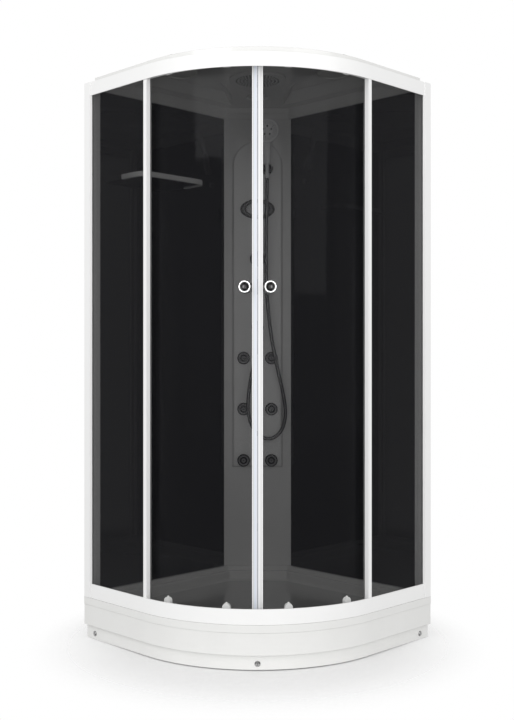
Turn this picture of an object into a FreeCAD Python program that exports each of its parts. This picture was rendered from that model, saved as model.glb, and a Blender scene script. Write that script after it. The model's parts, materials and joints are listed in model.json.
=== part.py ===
"""Quadrant steam shower cabin: tray, framed sliding doors, dark back walls, column and roof.

Row frame: millimetres, +Z up, origin on the floor under the centre of the square plan.
The two room walls lie along -X and +Y, and the round front faces (+X, -Y).
Two working frames are used for placement.
  cabin frame: u runs from the back corner along the +Y wall, v along the -X wall.
  front frame: x to the right, y into the corner and z up, seen by someone at the doors.
The front frame starts at the back corner, and the door frame is the same one at the arc's centre.
"""
import FreeCAD, Part
import Sketcher
import math
import os
import re

Vector = FreeCAD.Vector
Rotation = FreeCAD.Rotation
Placement = FreeCAD.Placement
UP = Vector(0, 0, 1)
INTO_CORNER = Vector(0, 1, 0)

doc = FreeCAD.newDocument("steam_shower_cabin")
sheet = doc.addObject("Spreadsheet::Sheet", "sizes")

SIZES = {
    # plan
    "side": 900,
    "flat_return": 350,
    # tray
    "tray_top": 153,
    "rim_drop": 26,
    "rim_width": 30,
    "rim_skin": 5,
    "upstand_top": 172,
    "upstand_width": 36,
    "basin_floor": 115,
    "basin_skin": 8,
    "basin_wall_inset": 50,
    "basin_front_inset": 62,
    "corner_cut": 244,
    "basin_corner_margin": 18,
    "basin_corner_round": 30,
    "basin_bottom_round": 12,
    "basin_top_round": 7,
    "drain_from_front_end": 180,
    "drain_from_right_wall": 150,
    "drain_hole_radius": 42,
    # apron
    "apron_inset": 1.5,
    "apron_skin": 3.5,
    "apron_step_height": 53,
    "apron_step_depth": 13,
    "apron_floor_gap": 3,
    "apron_screw_height": 23,
    "apron_screw_from_wall": 47,
    "screw_head_radius": 10,
    "screw_head_height": 5,
    "screw_shank_radius": 2.4,
    # frame under the tray
    "bar_width": 25,
    "bar_from_wall": 280,
    "bar_end_gap": 55,
    "foot_radius": 24,
    "foot_pad_height": 11,
    "foot_rod_radius": 6,
    "foot_nut_radius": 10.5,
    "foot_nut_height": 9,
    "foot_from_bar_end": 36,
    # trap
    "trap_radius": 38,
    "trap_height": 72,
    "waste_radius": 20,
    "waste_reach": 84,
    "waste_height": 52,
    "waste_collar": 4,
    # rails, posts and stiles
    "rail_inset": 3,
    "rail_skin": 4,
    "rail_depth": 47,
    "bottom_rail_top": 205,
    "top_rail_height": 49,
    "lip_inset": 27,
    "lip_skin": 2.5,
    "lip_height": 15,
    "rail_top": 2036,
    "ledge_drop": 39,
    "ledge_skin": 2,
    "ledge_gap": 4.5,
    "ledge_overrun": 21,
    "post_inset": 0.4,
    "post_face": 36.6,
    "post_edge_slope": 3.5,
    "post_depth": 30,
    "post_flange": 25,
    "post_flange_back": 14,
    "stile_width": 17,
    "stile_before_arc": 13.8,
    "stile_depth": 17,
    "slot_depth": 9,
    # fixed glass and walls
    "glass_thickness": 5,
    "glass_slot_gap": 0.3,
    "fixed_glass_inset": 9.5,
    "fixed_glass_bite": 8,
    "wall_panel_inset": 18,
    "wall_panel_drop": 22,
    "wall_panel_from_corner": 200,
    # doors
    "door_inset": 45,
    "door_bottom": 168,
    "door_top_drop": 11,
    "door_outer_angle": -4.0,
    "door_inner_angle": 43.9,
    "seal_inner_angle": 44.94,
    "seal_outer_angle": 42.98,
    "seal_skin": 2.6,
    "seal_groove_depth": 0.9,
    "edge_seal_start": -4.8,
    "edge_seal_end": -2.9,
    "edge_fin_reach": 523.5,
    "edge_fin_angle": 0.25,
    "edge_fin_low": 176,
    "roller_angle_outer": 8.5,
    "roller_angle_inner": 33.4,
    "roller_drop": 25.7,
    "wheel_radius": 11,
    "wheel_width": 6,
    "axle_radius": 3,
    "guide_width": 27,
    "guide_bottom": 162,
    "guide_thickness": 12.5,
    "release_radius": 4,
    "release_tip": 218.5,
    "release_proud": 4.5,
    "release_bore_depth": 18,
    "knob_angle": 40.34,
    "knob_height": 1264.5,
    "knob_radius": 20.5,
    "knob_length": 27,
    "knob_stem_radius": 5,
    # column
    "column_front": 171,
    "column_half_width": 138,
    "column_skin": 5,
    "column_drop": 22.3,
    "relief_depth": 12,
    "relief_half_width": 103,
    "relief_bottom": 580,
    "relief_arch_drop": 193.7,
    "relief_round": 9,
    "wing_length": 26,
    # roof
    "roof_wall_inset": 12,
    "roof_front_inset": 40,
    "roof_skin": 4,
    "roof_rim_rise": 26,
    "cornice_width": 20,
    "dome_arc_radius": 790,
    "dome_half_gap": 100,
    "dome_arc_from_corner": 330,
    "dome_rise": 34,
    "dome_draw_in": 34,
    "dome_front_margin": 85,
    "dome_wall_margin": 88,
    # ceiling fittings
    "rain_width": 206,
    "rain_depth": 188,
    "rain_thickness": 7,
    "rain_corner": 70,
    "rain_from_corner": 617,
    "lamp_radius": 62,
    "lamp_thickness": 11,
    "lamp_offset": 285,
    "lamp_from_corner": 590,
    "fan_radius": 35,
    "fan_flange": 42,
    "fan_collar": 1.5,
    "fan_height": 34,
    "fan_from_corner": 360,
    # column fittings
    "fitting_gap": 0.3,
    "running_gap": 0.05,
    "jet_offset": 57,
    "jet_top": 1028.5,
    "jet_middle": 818.5,
    "jet_bottom": 607.5,
    "jet_ring_radius": 26,
    "jet_ring_height": 8,
    "jet_ball_radius": 15,
    "jet_ball_gap": 0.3,
    "jet_body_depth": 24,
    "diverter_height": 1436,
    "mixer_height": 1321,
    "outlet_height": 1156,
    "trim_radius": 31,
    "trim_height": 7,
    "trim_gap": 0.4,
    "valve_knob_radius": 22,
    "valve_knob_length": 30,
    "spindle_radius": 6,
    "outlet_disc_radius": 25,
    "outlet_reach": 40,
    "outlet_radius": 10,
    "outlet_drop": 20,
    # control panel
    "panel_height": 1640.5,
    "panel_half_width": 70.5,
    "panel_half_height": 40.5,
    "bezel_band": 13.5,
    "bezel_height": 13,
    "panel_height_off_column": 9,
    "button_offset": 10,
    "button_drop": 11,
    "button_radius": 4.5,
    "button_proud": 2,
    "button_travel": 0.8,
    # hand shower
    "handset_side": 39,
    "holder_height": 1799,
    "holder_stand_off": 54,
    "handset_lean": 13,
    "socket_radius": 17.5,
    "socket_height": 32,
    "socket_slot": 16,
    "cone_top_radius": 11.5,
    "cone_foot_radius": 9.5,
    "cone_drop": 38,
    "handle_radius": 15.5,
    "handle_start": 18,
    "head_distance": 151,
    "head_radius": 49,
    "head_thickness": 20,
    "pivot_radius": 5,
    "fork_radius": 8,
    "fork_thickness": 4.5,
    "fork_gap": 1,
    # hose
    "hose_radius": 7,
    # shelf
    "shelf_start": 427,
    "shelf_end": 747,
    "shelf_reach": 127,
    "shelf_top": 1719.5,
    "shelf_rim_height": 18,
    "shelf_rim_width": 11,
    "shelf_glass_thickness": 6,
    "shelf_corner": 46,
    # hidden services
    "pipe_radius": 8,
    "elbow_wall": 2,
    "inlet_radius": 10.48,
    "inlet_length": 16,
    "inlet_offset": 38,
    "inlet_rise": 14,
    "inlet_neck": 14,
    "inlet_elbow_radius": 11.6,
    "valve_block_half_width": 24,
    "valve_block_depth": 36,
    "valve_block_overhang": 30,
    "riser_offset": 55,
    "riser_from_corner": 118,
    "roof_pipe_rise": 15,
    "steam_box_width": 100,
    "steam_box_depth": 62,
    "steam_box_height": 260,
    "steam_box_bottom": 210,
    "steam_outlet_height": 330,
    "steam_outlet_radius": 16,
}

# heights under and over the top rail, and places that follow the plan
TIED = {
    "opening_top": "=rail_top - top_rail_height",
    "ledge_height": "=rail_top - ledge_drop",
    "wall_panel_top": "=rail_top - wall_panel_drop",
    "door_top": "=rail_top - door_top_drop",
    "roller_height": "=rail_top - roller_drop",
    "column_top": "=rail_top - column_drop",
    "relief_arch_centre": "=column_top - relief_arch_drop",
    "roof_rim_top": "=rail_top + roof_rim_rise",
    "roof_pipe_height": "=roof_rim_top + roof_pipe_rise",
    "door_glass_radius": "=side - flat_return - door_inset",
    "ledge_inner_radius": "=door_glass_radius + ledge_gap",
    "drain_along_right_wall": "=side - drain_from_front_end",
    "guide_shoulder": "=release_tip - release_proud - sqrt((guide_width / 2)^2 - (release_radius + 1)^2)",
}

for row, (alias, content) in enumerate({**SIZES, **TIED}.items(), 1):
    sheet.set(f"A{row}", alias)
    sheet.set(f"B{row}", str(content))
    sheet.setAlias(f"B{row}", alias)
doc.recompute()


def bind(text):
    """Write an expression on the sheet's sizes in full, from their plain names."""
    def in_full(word):
        known = word.group() in SIZES or word.group() in TIED
        return "sizes." + word.group() if known else word.group()

    return re.sub(r"[a-z_]+", in_full, text)


def size(text):
    """The present value of an expression on the sheet's sizes."""
    return float(sheet.evalExpression(bind(text)))


# ---------------------------------------------------------------- places

HALF = "side / 2"
ARC_X = "flat_return - side / 2"
ARC_Y = "side / 2 - flat_return"
DIAGONAL_TURN = 45


def place(thing, x="0", y="0", z="0", turn="0"):
    """Stand an object at a point, turned about the vertical."""
    thing.Placement = Placement(Vector(0, 0, 0), Rotation(UP, size(turn)))
    for axis, text in zip("xyz", (x, y, z)):
        thing.setExpression(f"Placement.Base.{axis}", bind(text))
    if turn != "0":
        thing.setExpression("Placement.Rotation.Angle", bind(turn))
    return thing


def at_front(thing):
    """Put an object made in the front frame into the row frame."""
    return place(thing, "-side / 2", HALF, "0", str(DIAGONAL_TURN))


def at_door(thing, turn):
    """Put an object made in the door frame at an angle from the left end of the arc."""
    return place(thing, ARC_X, ARC_Y, "0", turn)


FRONT = Placement(Vector(-size(HALF), size(HALF), 0), Rotation(UP, DIAGONAL_TURN))


def front_point(side_way, out, height):
    """A point in the row frame, from the front frame: to the right, out of the corner, up."""
    return FRONT.multVec(Vector(side_way, -out, height))


def cabin_point(u, v, height):
    """A point in the row frame, from the distances along the two walls."""
    return Vector(u - size(HALF), size(HALF) - v, height)


# ---------------------------------------------------------------- features

def new_body(label):
    part = doc.addObject("PartDesign::Body", label)
    part.Label = label
    return part


def origin_plane(part, role):
    for feature in part.Origin.OriginFeatures:
        if feature.Role == role:
            return feature


def new_sketch(part, loops, plane="XY_Plane", offset="0"):
    """A sketch of closed loops, every corner dimensioned from the origin by the sheet.

    A loop is a list of corners (x, y), or (x, y, centre_x, centre_y, way) where an arc about
    that centre runs to the next corner, with way 1 anticlockwise and -1 clockwise.
    A loop of one entry ("circle", x, y, radius) is a circle.
    """
    drawing = part.newObject("Sketcher::SketchObject", part.Name + "_sketch")
    drawing.AttachmentSupport = [(origin_plane(part, plane), "")]
    drawing.MapMode = "FlatFace"
    drawing.setExpression("AttachmentOffset.Base.z", bind(offset))
    for loop in loops:
        if loop[0][0] == "circle":
            draw_circle(drawing, *loop[0][1:])
        else:
            draw_loop(drawing, loop)
    return drawing


def dimension(drawing, way, geometry, point, text):
    number = drawing.addConstraint(Sketcher.Constraint(way, -1, 1, geometry, point, size(text)))
    drawing.setExpression(f"Constraints[{number}]", bind(text))


def draw_circle(drawing, x, y, radius):
    shape = Part.Circle(Vector(size(x), size(y), 0), UP, size(radius))
    geometry = drawing.addGeometry(shape, False)
    dimension(drawing, "DistanceX", geometry, 3, x)
    dimension(drawing, "DistanceY", geometry, 3, y)
    number = drawing.addConstraint(Sketcher.Constraint("Radius", geometry, size(radius)))
    drawing.setExpression(f"Constraints[{number}]", bind(radius))


def draw_loop(drawing, loop):
    first = drawing.GeometryCount
    count = len(loop)
    for index, corner in enumerate(loop):
        after = loop[(index + 1) % count]
        start = Vector(size(corner[0]), size(corner[1]), 0)
        end = Vector(size(after[0]), size(after[1]), 0)
        if len(corner) == 2:
            drawing.addGeometry(Part.LineSegment(start, end), False)
            continue
        centre = Vector(size(corner[2]), size(corner[3]), 0)
        low, high = (start, end) if corner[4] > 0 else (end, start)
        circle = Part.Circle(centre, UP, (start - centre).Length)
        low_angle = math.atan2(low.y - centre.y, low.x - centre.x)
        high_angle = math.atan2(high.y - centre.y, high.x - centre.x)
        drawing.addGeometry(Part.ArcOfCircle(circle, low_angle, high_angle), False)
    for index, corner in enumerate(loop):
        after = (index + 1) % count
        clockwise = len(corner) == 5 and corner[4] < 0
        next_clockwise = len(loop[after]) == 5 and loop[after][4] < 0
        here = first + index
        ahead = first + after
        drawing.addConstraint(Sketcher.Constraint(
            "Coincident", here, 1 if clockwise else 2, ahead, 2 if next_clockwise else 1))
        dimension(drawing, "DistanceX", here, 2 if clockwise else 1, corner[0])
        dimension(drawing, "DistanceY", here, 2 if clockwise else 1, corner[1])
        if len(corner) == 5:
            across = abs(size(loop[after][0]) - size(corner[0]))
            upward = abs(size(loop[after][1]) - size(corner[1]))
            if across > upward:
                dimension(drawing, "DistanceY", here, 3, corner[3])
            else:
                dimension(drawing, "DistanceX", here, 3, corner[2])


def pad(part, loops, length, offset="0", plane="XY_Plane"):
    feature = part.newObject("PartDesign::Pad", part.Name + "_pad")
    feature.Profile = new_sketch(part, loops, plane, offset)
    feature.setExpression("Length", bind(length))
    doc.recompute()
    return feature


def pocket(part, loops, length, offset="0", plane="XY_Plane"):
    """Cut from the sketch's plane backwards, and make sure that it takes something away."""
    before = part.Shape.Volume
    feature = part.newObject("PartDesign::Pocket", part.Name + "_pocket")
    feature.Profile = new_sketch(part, loops, plane, offset)
    feature.setExpression("Length", bind(length))
    doc.recompute()
    if part.Shape.Volume >= before:
        raise RuntimeError(f"{part.Label}: a pocket cuts nothing")
    return feature


def round_edges(part, radius, chosen):
    """Round the edges of the tip that a test picks."""
    before = part.Tip
    names = [f"Edge{number}" for number, edge in enumerate(before.Shape.Edges, 1) if chosen(edge)]
    feature = part.newObject("PartDesign::Fillet", part.Name + "_round")
    feature.Base = (before, names)
    feature.setExpression("Radius", bind(radius))
    part.Tip = feature
    doc.recompute()
    if "Up-to-date" not in feature.State:
        raise RuntimeError(f"{part.Label}: {len(names)} edges don't round: {feature.State}")
    return feature


def turned(label, corners, plane="XY_Plane"):
    """A body turned about its own Y axis (plane XY) or Z axis (plane XZ): corners (radius, along)."""
    part = new_body(label)
    feature = part.newObject("PartDesign::Revolution", label + "_turn")
    drawing = new_sketch(part, [corners], plane)
    feature.Profile = drawing
    feature.ReferenceAxis = (drawing, ["V_Axis"])
    feature.Angle = 360
    doc.recompute()
    return part


def level(edge, text):
    """True where an edge lies flat at a height."""
    box = edge.BoundBox
    return abs(box.ZMin - size(text)) < 0.01 and abs(box.ZMax - size(text)) < 0.01


def cylinder(label, radius, length, x="0", y="0", z="0"):
    """An upright cylinder in the frame of the object that it joins."""
    thing = doc.addObject("Part::Cylinder", label)
    thing.setExpression("Radius", bind(radius))
    thing.setExpression("Height", bind(length))
    return place(thing, x, y, z)


def cross_cylinder(label, radius, length, x, y, z):
    """A cylinder along -Y, out of the wall or the door, from its inner end."""
    thing = cylinder(label, radius, length, x, y, z)
    thing.Placement = Placement(thing.Placement.Base, Rotation(Vector(1, 0, 0), 90))
    return thing


def block(label, width, depth, height, x="0", y="0", z="0"):
    thing = doc.addObject("Part::Box", label)
    thing.setExpression("Length", bind(width))
    thing.setExpression("Width", bind(depth))
    thing.setExpression("Height", bind(height))
    return place(thing, x, y, z)


def joined(label, things):
    result = doc.addObject("Part::MultiFuse", label)
    result.Shapes = things
    result.Refine = True
    doc.recompute()
    return result


def cut(label, base, tool):
    result = doc.addObject("Part::Cut", label)
    result.Base = base
    result.Tool = tool
    result.Refine = True
    doc.recompute()
    return result


def group(label, things):
    """Several separate solids under one name."""
    result = doc.addObject("Part::Compound", label)
    result.Links = things
    doc.recompute()
    return result


def mirrored(label, source):
    """The same piece on the other side of the cabin's plane of symmetry."""
    result = doc.addObject("Part::Mirroring", label)
    result.Source = source
    result.Base = Vector(0, 0, 0)
    result.Normal = Vector(1, 1, 0)
    doc.recompute()
    return result


def shaped(label, shape, placement=None):
    result = doc.addObject("Part::Feature", label)
    result.Shape = shape
    if placement is not None:
        result.Placement = placement
    return result


NODES = []


def node(thing, label=None):
    """Keep an object as a named piece of the cabin."""
    if label is not None:
        thing.Label = label
    NODES.append(thing)
    return thing


# ---------------------------------------------------------------- plan outlines

def outline(wall, front, corner_cut=None):
    """The quadrant plan, drawn in from the walls and from the front.

    The back corner may be cut off by the line that meets both walls at one distance from it.
    """
    left = f"{wall} - side / 2"
    back = f"side / 2 - ({wall})"
    right = f"side / 2 - ({front})"
    low = f"{front} - side / 2"
    corners = [(right, back), (left, back), (left, low), (ARC_X, low, ARC_X, ARC_Y, 1), (right, ARC_Y)]
    if corner_cut is not None:
        along = f"{corner_cut} - ({wall})"
        corners[1:2] = [(f"{along} - side / 2", back), (left, f"side / 2 - ({along})")]
    return corners


def strip(start, outer, inner):
    """A band along the front, between two insets, from a distance off each wall."""
    low_outer = f"{outer} - side / 2"
    low_inner = f"{inner} - side / 2"
    right_outer = f"side / 2 - ({outer})"
    right_inner = f"side / 2 - ({inner})"
    left = f"{start} - side / 2"
    back = f"side / 2 - ({start})"
    return [
        (left, low_outer),
        (ARC_X, low_outer, ARC_X, ARC_Y, 1),
        (right_outer, ARC_Y),
        (right_outer, back),
        (right_inner, back),
        (right_inner, ARC_Y, ARC_X, ARC_Y, -1),
        (ARC_X, low_inner),
        (left, low_inner),
    ]


def rectangle(u_low, v_low, u_high, v_high):
    """A rectangle given in the cabin frame."""
    left = f"{u_low} - side / 2"
    right = f"{u_high} - side / 2"
    top = f"side / 2 - ({v_low})"
    low = f"side / 2 - ({v_high})"
    return [(left, low), (right, low), (right, top), (left, top)]


# ---------------------------------------------------------------- tray and apron

def make_tray():
    part = new_body("shower_tray")
    pad(part, [outline("0", "0")], "rim_drop", "tray_top - rim_drop")
    underside = "basin_floor - basin_skin"
    pad(part, [outline("rim_width", "rim_width")], f"tray_top - rim_drop - ({underside})", underside)
    walls = [
        (f"-{HALF}", f"post_depth + post_inset + 1 - {HALF}"),
        (f"upstand_width - {HALF}", f"post_depth + post_inset + 1 - {HALF}"),
        (f"upstand_width - {HALF}", f"{HALF} - corner_cut + upstand_width"),
        (f"corner_cut - upstand_width - {HALF}", f"{HALF} - upstand_width"),
        (f"{HALF} - post_depth - post_inset - 1", f"{HALF} - upstand_width"),
        (f"{HALF} - post_depth - post_inset - 1", HALF),
        (f"-{HALF}", HALF),
    ]
    pad(part, [walls], "upstand_top - tray_top", "tray_top")
    basin = outline("basin_wall_inset", "basin_front_inset", "corner_cut + basin_corner_margin")
    pocket(part, [basin], "upstand_top - basin_floor", "upstand_top")
    inner = size(f"{HALF} - basin_wall_inset")
    front = size(f"{HALF} - basin_front_inset")

    def basin_corner(edge):
        box = edge.BoundBox
        upright = box.ZLength > size("tray_top - basin_floor") - 1 and box.XLength + box.YLength < 0.01
        inside = box.XMin > -inner - 1 and box.YMax < inner + 1 and box.XMax < front + 1 and box.YMin > -front - 1
        plain = abs(box.XMin - front) > 1 or box.YMax > inner - 1
        plain = plain and (abs(box.YMin + front) > 1 or box.XMin < 1 - inner)
        return upright and inside and plain

    round_edges(part, "basin_corner_round", basin_corner)
    round_edges(part, "basin_bottom_round", lambda edge: level(edge, "basin_floor"))

    def basin_rim(edge):
        box = edge.BoundBox
        inside = box.XMin > -inner - 1 and box.YMax < inner + 1 and box.XMax < front + 1 and box.YMin > -front - 1
        return level(edge, "tray_top") and inside

    round_edges(part, "basin_top_round", basin_rim)
    ring = [outline("rim_skin", "rim_skin"), outline("rim_width", "rim_width")]
    hollow = part.newObject("PartDesign::Pocket", "shower_tray_underside")
    hollow.Profile = new_sketch(part, ring, "XY_Plane", "tray_top - rim_skin")
    hollow.setExpression("Length", bind("rim_drop"))
    doc.recompute()
    drain_x = f"drain_along_right_wall - {HALF}"
    drain_y = f"{HALF} - drain_from_right_wall"
    pocket(part, [[("circle", drain_x, drain_y, "drain_hole_radius")]], "basin_skin + 2", "basin_floor + 1")
    return node(part)


def make_apron():
    part = new_body("tray_apron_blank")
    top = "tray_top - rim_drop - fitting_gap"
    step = "apron_step_height"
    back = "apron_inset + apron_step_depth + apron_skin"
    pad(part, [strip("0", "apron_inset", "apron_inset + apron_skin")], f"{top} - {step}", step)
    pad(part, [strip("0", "apron_inset", back)], "apron_skin", step)
    skirt = strip("0", "apron_inset + apron_step_depth", back)
    pad(part, [skirt], "apron_step_height - apron_floor_gap", "apron_floor_gap")
    return part


def apron_screw_place(index):
    """Plan point and outward angle of each apron screw, from the skirt's face."""
    if index == 0:
        return f"apron_screw_from_wall - {HALF}", f"apron_inset + apron_step_depth - {HALF}", "0"
    if index == 1:
        reach = "(side - flat_return - apron_inset - apron_step_depth) * cos(45)"
        return f"{ARC_X} + {reach}", f"{ARC_Y} - {reach}", "45"
    return f"{HALF} - apron_inset - apron_step_depth", f"{HALF} - apron_screw_from_wall", "90"


def screw_at(number, x, y, turn):
    screw = turned(f"apron_screw_{number}", [
        ("0", "-screw_head_height"),
        ("screw_head_radius * 0.55", "-screw_head_height * 0.85"),
        ("screw_head_radius", "-fitting_gap"),
        ("screw_shank_radius", "-fitting_gap"),
        ("screw_shank_radius", "apron_skin + fitting_gap + 3"),
        ("0", "apron_skin + fitting_gap + 3"),
    ])
    return place(screw, x, y, "apron_screw_height", turn)


def make_apron_and_screws():
    apron = make_apron()
    screws = []
    holes = []
    for index in range(3):
        x, y, turn = apron_screw_place(index)
        screws.append(screw_at(index + 1, x, y, turn))
        hole = doc.addObject("Part::Cylinder", f"apron_hole_{index + 1}")
        hole.setExpression("Radius", bind("screw_shank_radius + 0.2"))
        hole.Height = 20
        lean = Rotation(UP, size(turn)).multiply(Rotation(Vector(1, 0, 0), -90))
        middle = Vector(size(x), size(y), size("apron_screw_height"))
        hole.Placement = Placement(middle + lean.multVec(Vector(0, 0, -5)), lean)
        holes.append(hole)
    drills = joined("apron_screw_drills", holes)
    node(cut("tray_apron_drilled", apron, drills), "tray_apron")
    node(group("apron_screws", screws))
    return drills


# ---------------------------------------------------------------- frame under the tray

def make_tray_frame(drills):
    top = "basin_floor - basin_skin - fitting_gap"
    bottom = f"{top} - bar_width"
    behind = "apron_inset + apron_step_depth + apron_skin + fitting_gap"
    reach = f"side - bar_end_gap - ({behind})"
    bars = [
        block("frame_bar_right", reach, "bar_width", "bar_width", f"bar_end_gap - {HALF}",
              f"{HALF} - bar_from_wall", bottom),
        block("frame_bar_left", "bar_width", reach, "bar_width", f"bar_from_wall - {HALF} - bar_width",
              f"{behind} - {HALF}", bottom),
    ]
    brace = doc.addObject("Part::Box", "frame_brace")
    brace.setExpression("Length", bind("bar_width"))
    brace.setExpression("Width", bind("(side - flat_return - apron_inset - apron_step_depth - apron_skin - 1) "
                                      "+ (flat_return - bar_from_wall) * 1.414"))
    brace.setExpression("Height", bind("bar_width"))
    brace.Placement = Placement(Vector(), Rotation(UP, DIAGONAL_TURN))
    reach_out = "(side - flat_return - apron_inset - apron_step_depth - apron_skin - 0.5)"
    brace.setExpression("Placement.Base.x", bind(f"{ARC_X} + ({reach_out} - bar_width / 2) * cos(45)"))
    brace.setExpression("Placement.Base.y", bind(f"{ARC_Y} - ({reach_out} + bar_width / 2) * cos(45)"))
    brace.setExpression("Placement.Base.z", bind(bottom))
    bars.append(brace)
    tab_low = "apron_screw_height - 13"
    tab_height = f"{top} - ({tab_low})"
    bars.append(block("frame_tab_left", "26", "4", tab_height, f"apron_screw_from_wall - {HALF} - 13",
                      f"{behind} - {HALF}", tab_low))
    arm = "bar_from_wall - apron_screw_from_wall + 13"
    bars.append(block("frame_arm_left", arm, "bar_width", "bar_width",
                      f"apron_screw_from_wall - {HALF} - 13", f"{behind} - {HALF}", bottom))
    bars.append(block("frame_tab_right", "4", "26", tab_height, f"{HALF} - ({behind}) - 4",
                      f"{HALF} - apron_screw_from_wall - 13", tab_low))
    bars.append(block("frame_arm_right", "bar_width", arm, "bar_width",
                      f"{HALF} - ({behind}) - bar_width", f"{HALF} - bar_from_wall", bottom))
    front_tab = doc.addObject("Part::Box", "frame_tab_front")
    front_tab.Length = 26
    front_tab.Width = 4
    front_tab.setExpression("Height", bind(tab_height))
    front_tab.Placement = Placement(Vector(), Rotation(UP, DIAGONAL_TURN))
    front_tab.setExpression("Placement.Base.x", bind(f"{ARC_X} + ({reach_out} - 13) * cos(45)"))
    front_tab.setExpression("Placement.Base.y", bind(f"{ARC_Y} - ({reach_out} + 13) * cos(45)"))
    front_tab.setExpression("Placement.Base.z", bind(tab_low))
    bars.append(front_tab)
    whole = joined("tray_frame_bars", bars)
    node(cut("tray_frame_drilled", whole, drills), "tray_frame")


def make_feet():
    """Five screwed feet, each with its lock nut, standing under the bars."""
    under = "basin_floor - basin_skin - fitting_gap - bar_width"
    near = f"bar_end_gap + foot_from_bar_end - {HALF}"
    far = f"{HALF} - bar_end_gap - foot_from_bar_end - 10"
    across = f"{HALF} - bar_from_wall + bar_width / 2"
    spots = [
        (near, across),
        (far, across),
        (f"-({across})", far.replace("- 10", "")),
        (f"-({across})", f"-({far})"),
        (f"{ARC_X} + (side - flat_return - 90) * cos(45)", f"{ARC_Y} - (side - flat_return - 90) * cos(45)"),
    ]
    solids = []
    for number, (x, y) in enumerate(spots, 1):
        foot = turned(f"foot_{number}", [
            ("0", "0"),
            ("foot_radius", "0"),
            ("foot_radius", "foot_pad_height * 0.45"),
            ("foot_radius * 0.45", "foot_pad_height"),
            ("foot_rod_radius", "foot_pad_height"),
            ("foot_rod_radius", f"{under} - fitting_gap"),
            ("0", f"{under} - fitting_gap"),
        ], "XZ_Plane")
        solids.append(place(foot, x, y))
        nut = new_body(f"foot_nut_{number}")
        hexagon = [(f"foot_nut_radius * cos({60 * side})", f"foot_nut_radius * sin({60 * side})") for side in range(6)]
        bore = [("circle", "0", "0", "foot_rod_radius + 0.1")]
        pad(nut, [hexagon, bore], "foot_nut_height", f"{under} - foot_nut_height - fitting_gap")
        solids.append(place(nut, x, y))
    node(group("levelling_feet", solids))


def make_trap():
    """Drain flange, bottle trap and the waste spigot that points to the wall."""
    x = f"drain_along_right_wall - {HALF}"
    y = f"{HALF} - drain_from_right_wall"
    under = "basin_floor - basin_skin - fitting_gap"
    cup = turned("trap_cup", [
        ("0", f"{under} - trap_height"),
        ("trap_radius - 6", f"{under} - trap_height"),
        ("trap_radius", f"{under} - trap_height + 8"),
        ("trap_radius", f"{under} - 8"),
        ("trap_radius + 12", f"{under} - 8"),
        ("trap_radius + 12", under),
        ("trap_radius - 3", under),
        ("trap_radius - 3", f"{under} - trap_height + 9"),
        ("0", f"{under} - trap_height + 4"),
    ], "XZ_Plane")
    place(cup, x, y)
    spigot = doc.addObject("Part::Cylinder", "waste_spigot")
    spigot.setExpression("Radius", bind("waste_radius"))
    spigot.setExpression("Height", bind("waste_reach - trap_radius + 6"))
    spigot.Placement = Placement(Vector(), Rotation(Vector(1, 0, 0), -90))
    spigot.setExpression("Placement.Base.x", bind(x))
    spigot.setExpression("Placement.Base.y", bind(f"{y} + trap_radius - 6"))
    spigot.setExpression("Placement.Base.z", bind("waste_height"))
    collar = doc.addObject("Part::Cylinder", "waste_collar")
    collar.setExpression("Radius", bind("waste_radius + waste_collar"))
    collar.Height = 10
    collar.Placement = spigot.Placement
    collar.setExpression("Placement.Base.x", bind(x))
    collar.setExpression("Placement.Base.y", bind(f"{y} + trap_radius - 6"))
    collar.setExpression("Placement.Base.z", bind("waste_height"))
    trap_body = joined("trap_body", [cup, collar, spigot])
    bore = doc.addObject("Part::Cylinder", "waste_bore")
    bore.setExpression("Radius", bind("waste_radius - 3"))
    bore.setExpression("Height", bind("waste_reach - trap_radius + 20"))
    bore.Placement = spigot.Placement
    bore.setExpression("Placement.Base.x", bind(x))
    bore.setExpression("Placement.Base.y", bind(f"{y} + trap_radius - 8"))
    bore.setExpression("Placement.Base.z", bind("waste_height"))
    node(cut("drain_trap_bored", trap_body, bore), "drain_trap")

    cover = turned("drain_cover", [
        ("0", "basin_floor + 8"),
        ("drain_hole_radius * 0.6", "basin_floor + 6.5"),
        ("drain_hole_radius + 3", "basin_floor + 2.5"),
        ("drain_hole_radius + 3", "basin_floor + fitting_gap"),
        ("drain_hole_radius - 8", "basin_floor + fitting_gap"),
        ("drain_hole_radius - 8", "basin_floor - 12"),
        ("drain_hole_radius - 11", "basin_floor - 12"),
        ("drain_hole_radius - 11", "basin_floor + 3"),
        ("0", "basin_floor + 5"),
    ], "XZ_Plane")
    node(place(cover, x, y))


# ---------------------------------------------------------------- rails, posts and stiles

def ring_sector(label, outer, inner, start, sweep, bottom, height):
    """Part of an upright ring about the arc's centre; angles from the left end of the arc."""
    shell = []
    for name, radius, grow in (("outer", outer, "0"), ("inner", inner, "2")):
        drum = doc.addObject("Part::Cylinder", f"{label}_{name}")
        drum.setExpression("Radius", bind(radius))
        drum.setExpression("Height", bind(f"{height} + {grow}"))
        if name == "outer":
            drum.setExpression("Angle", bind(sweep))
        shell.append(place(drum, ARC_X, ARC_Y, f"{bottom} - {grow} / 2", f"{start} - 90"))
    return cut(label, *shell)


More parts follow.
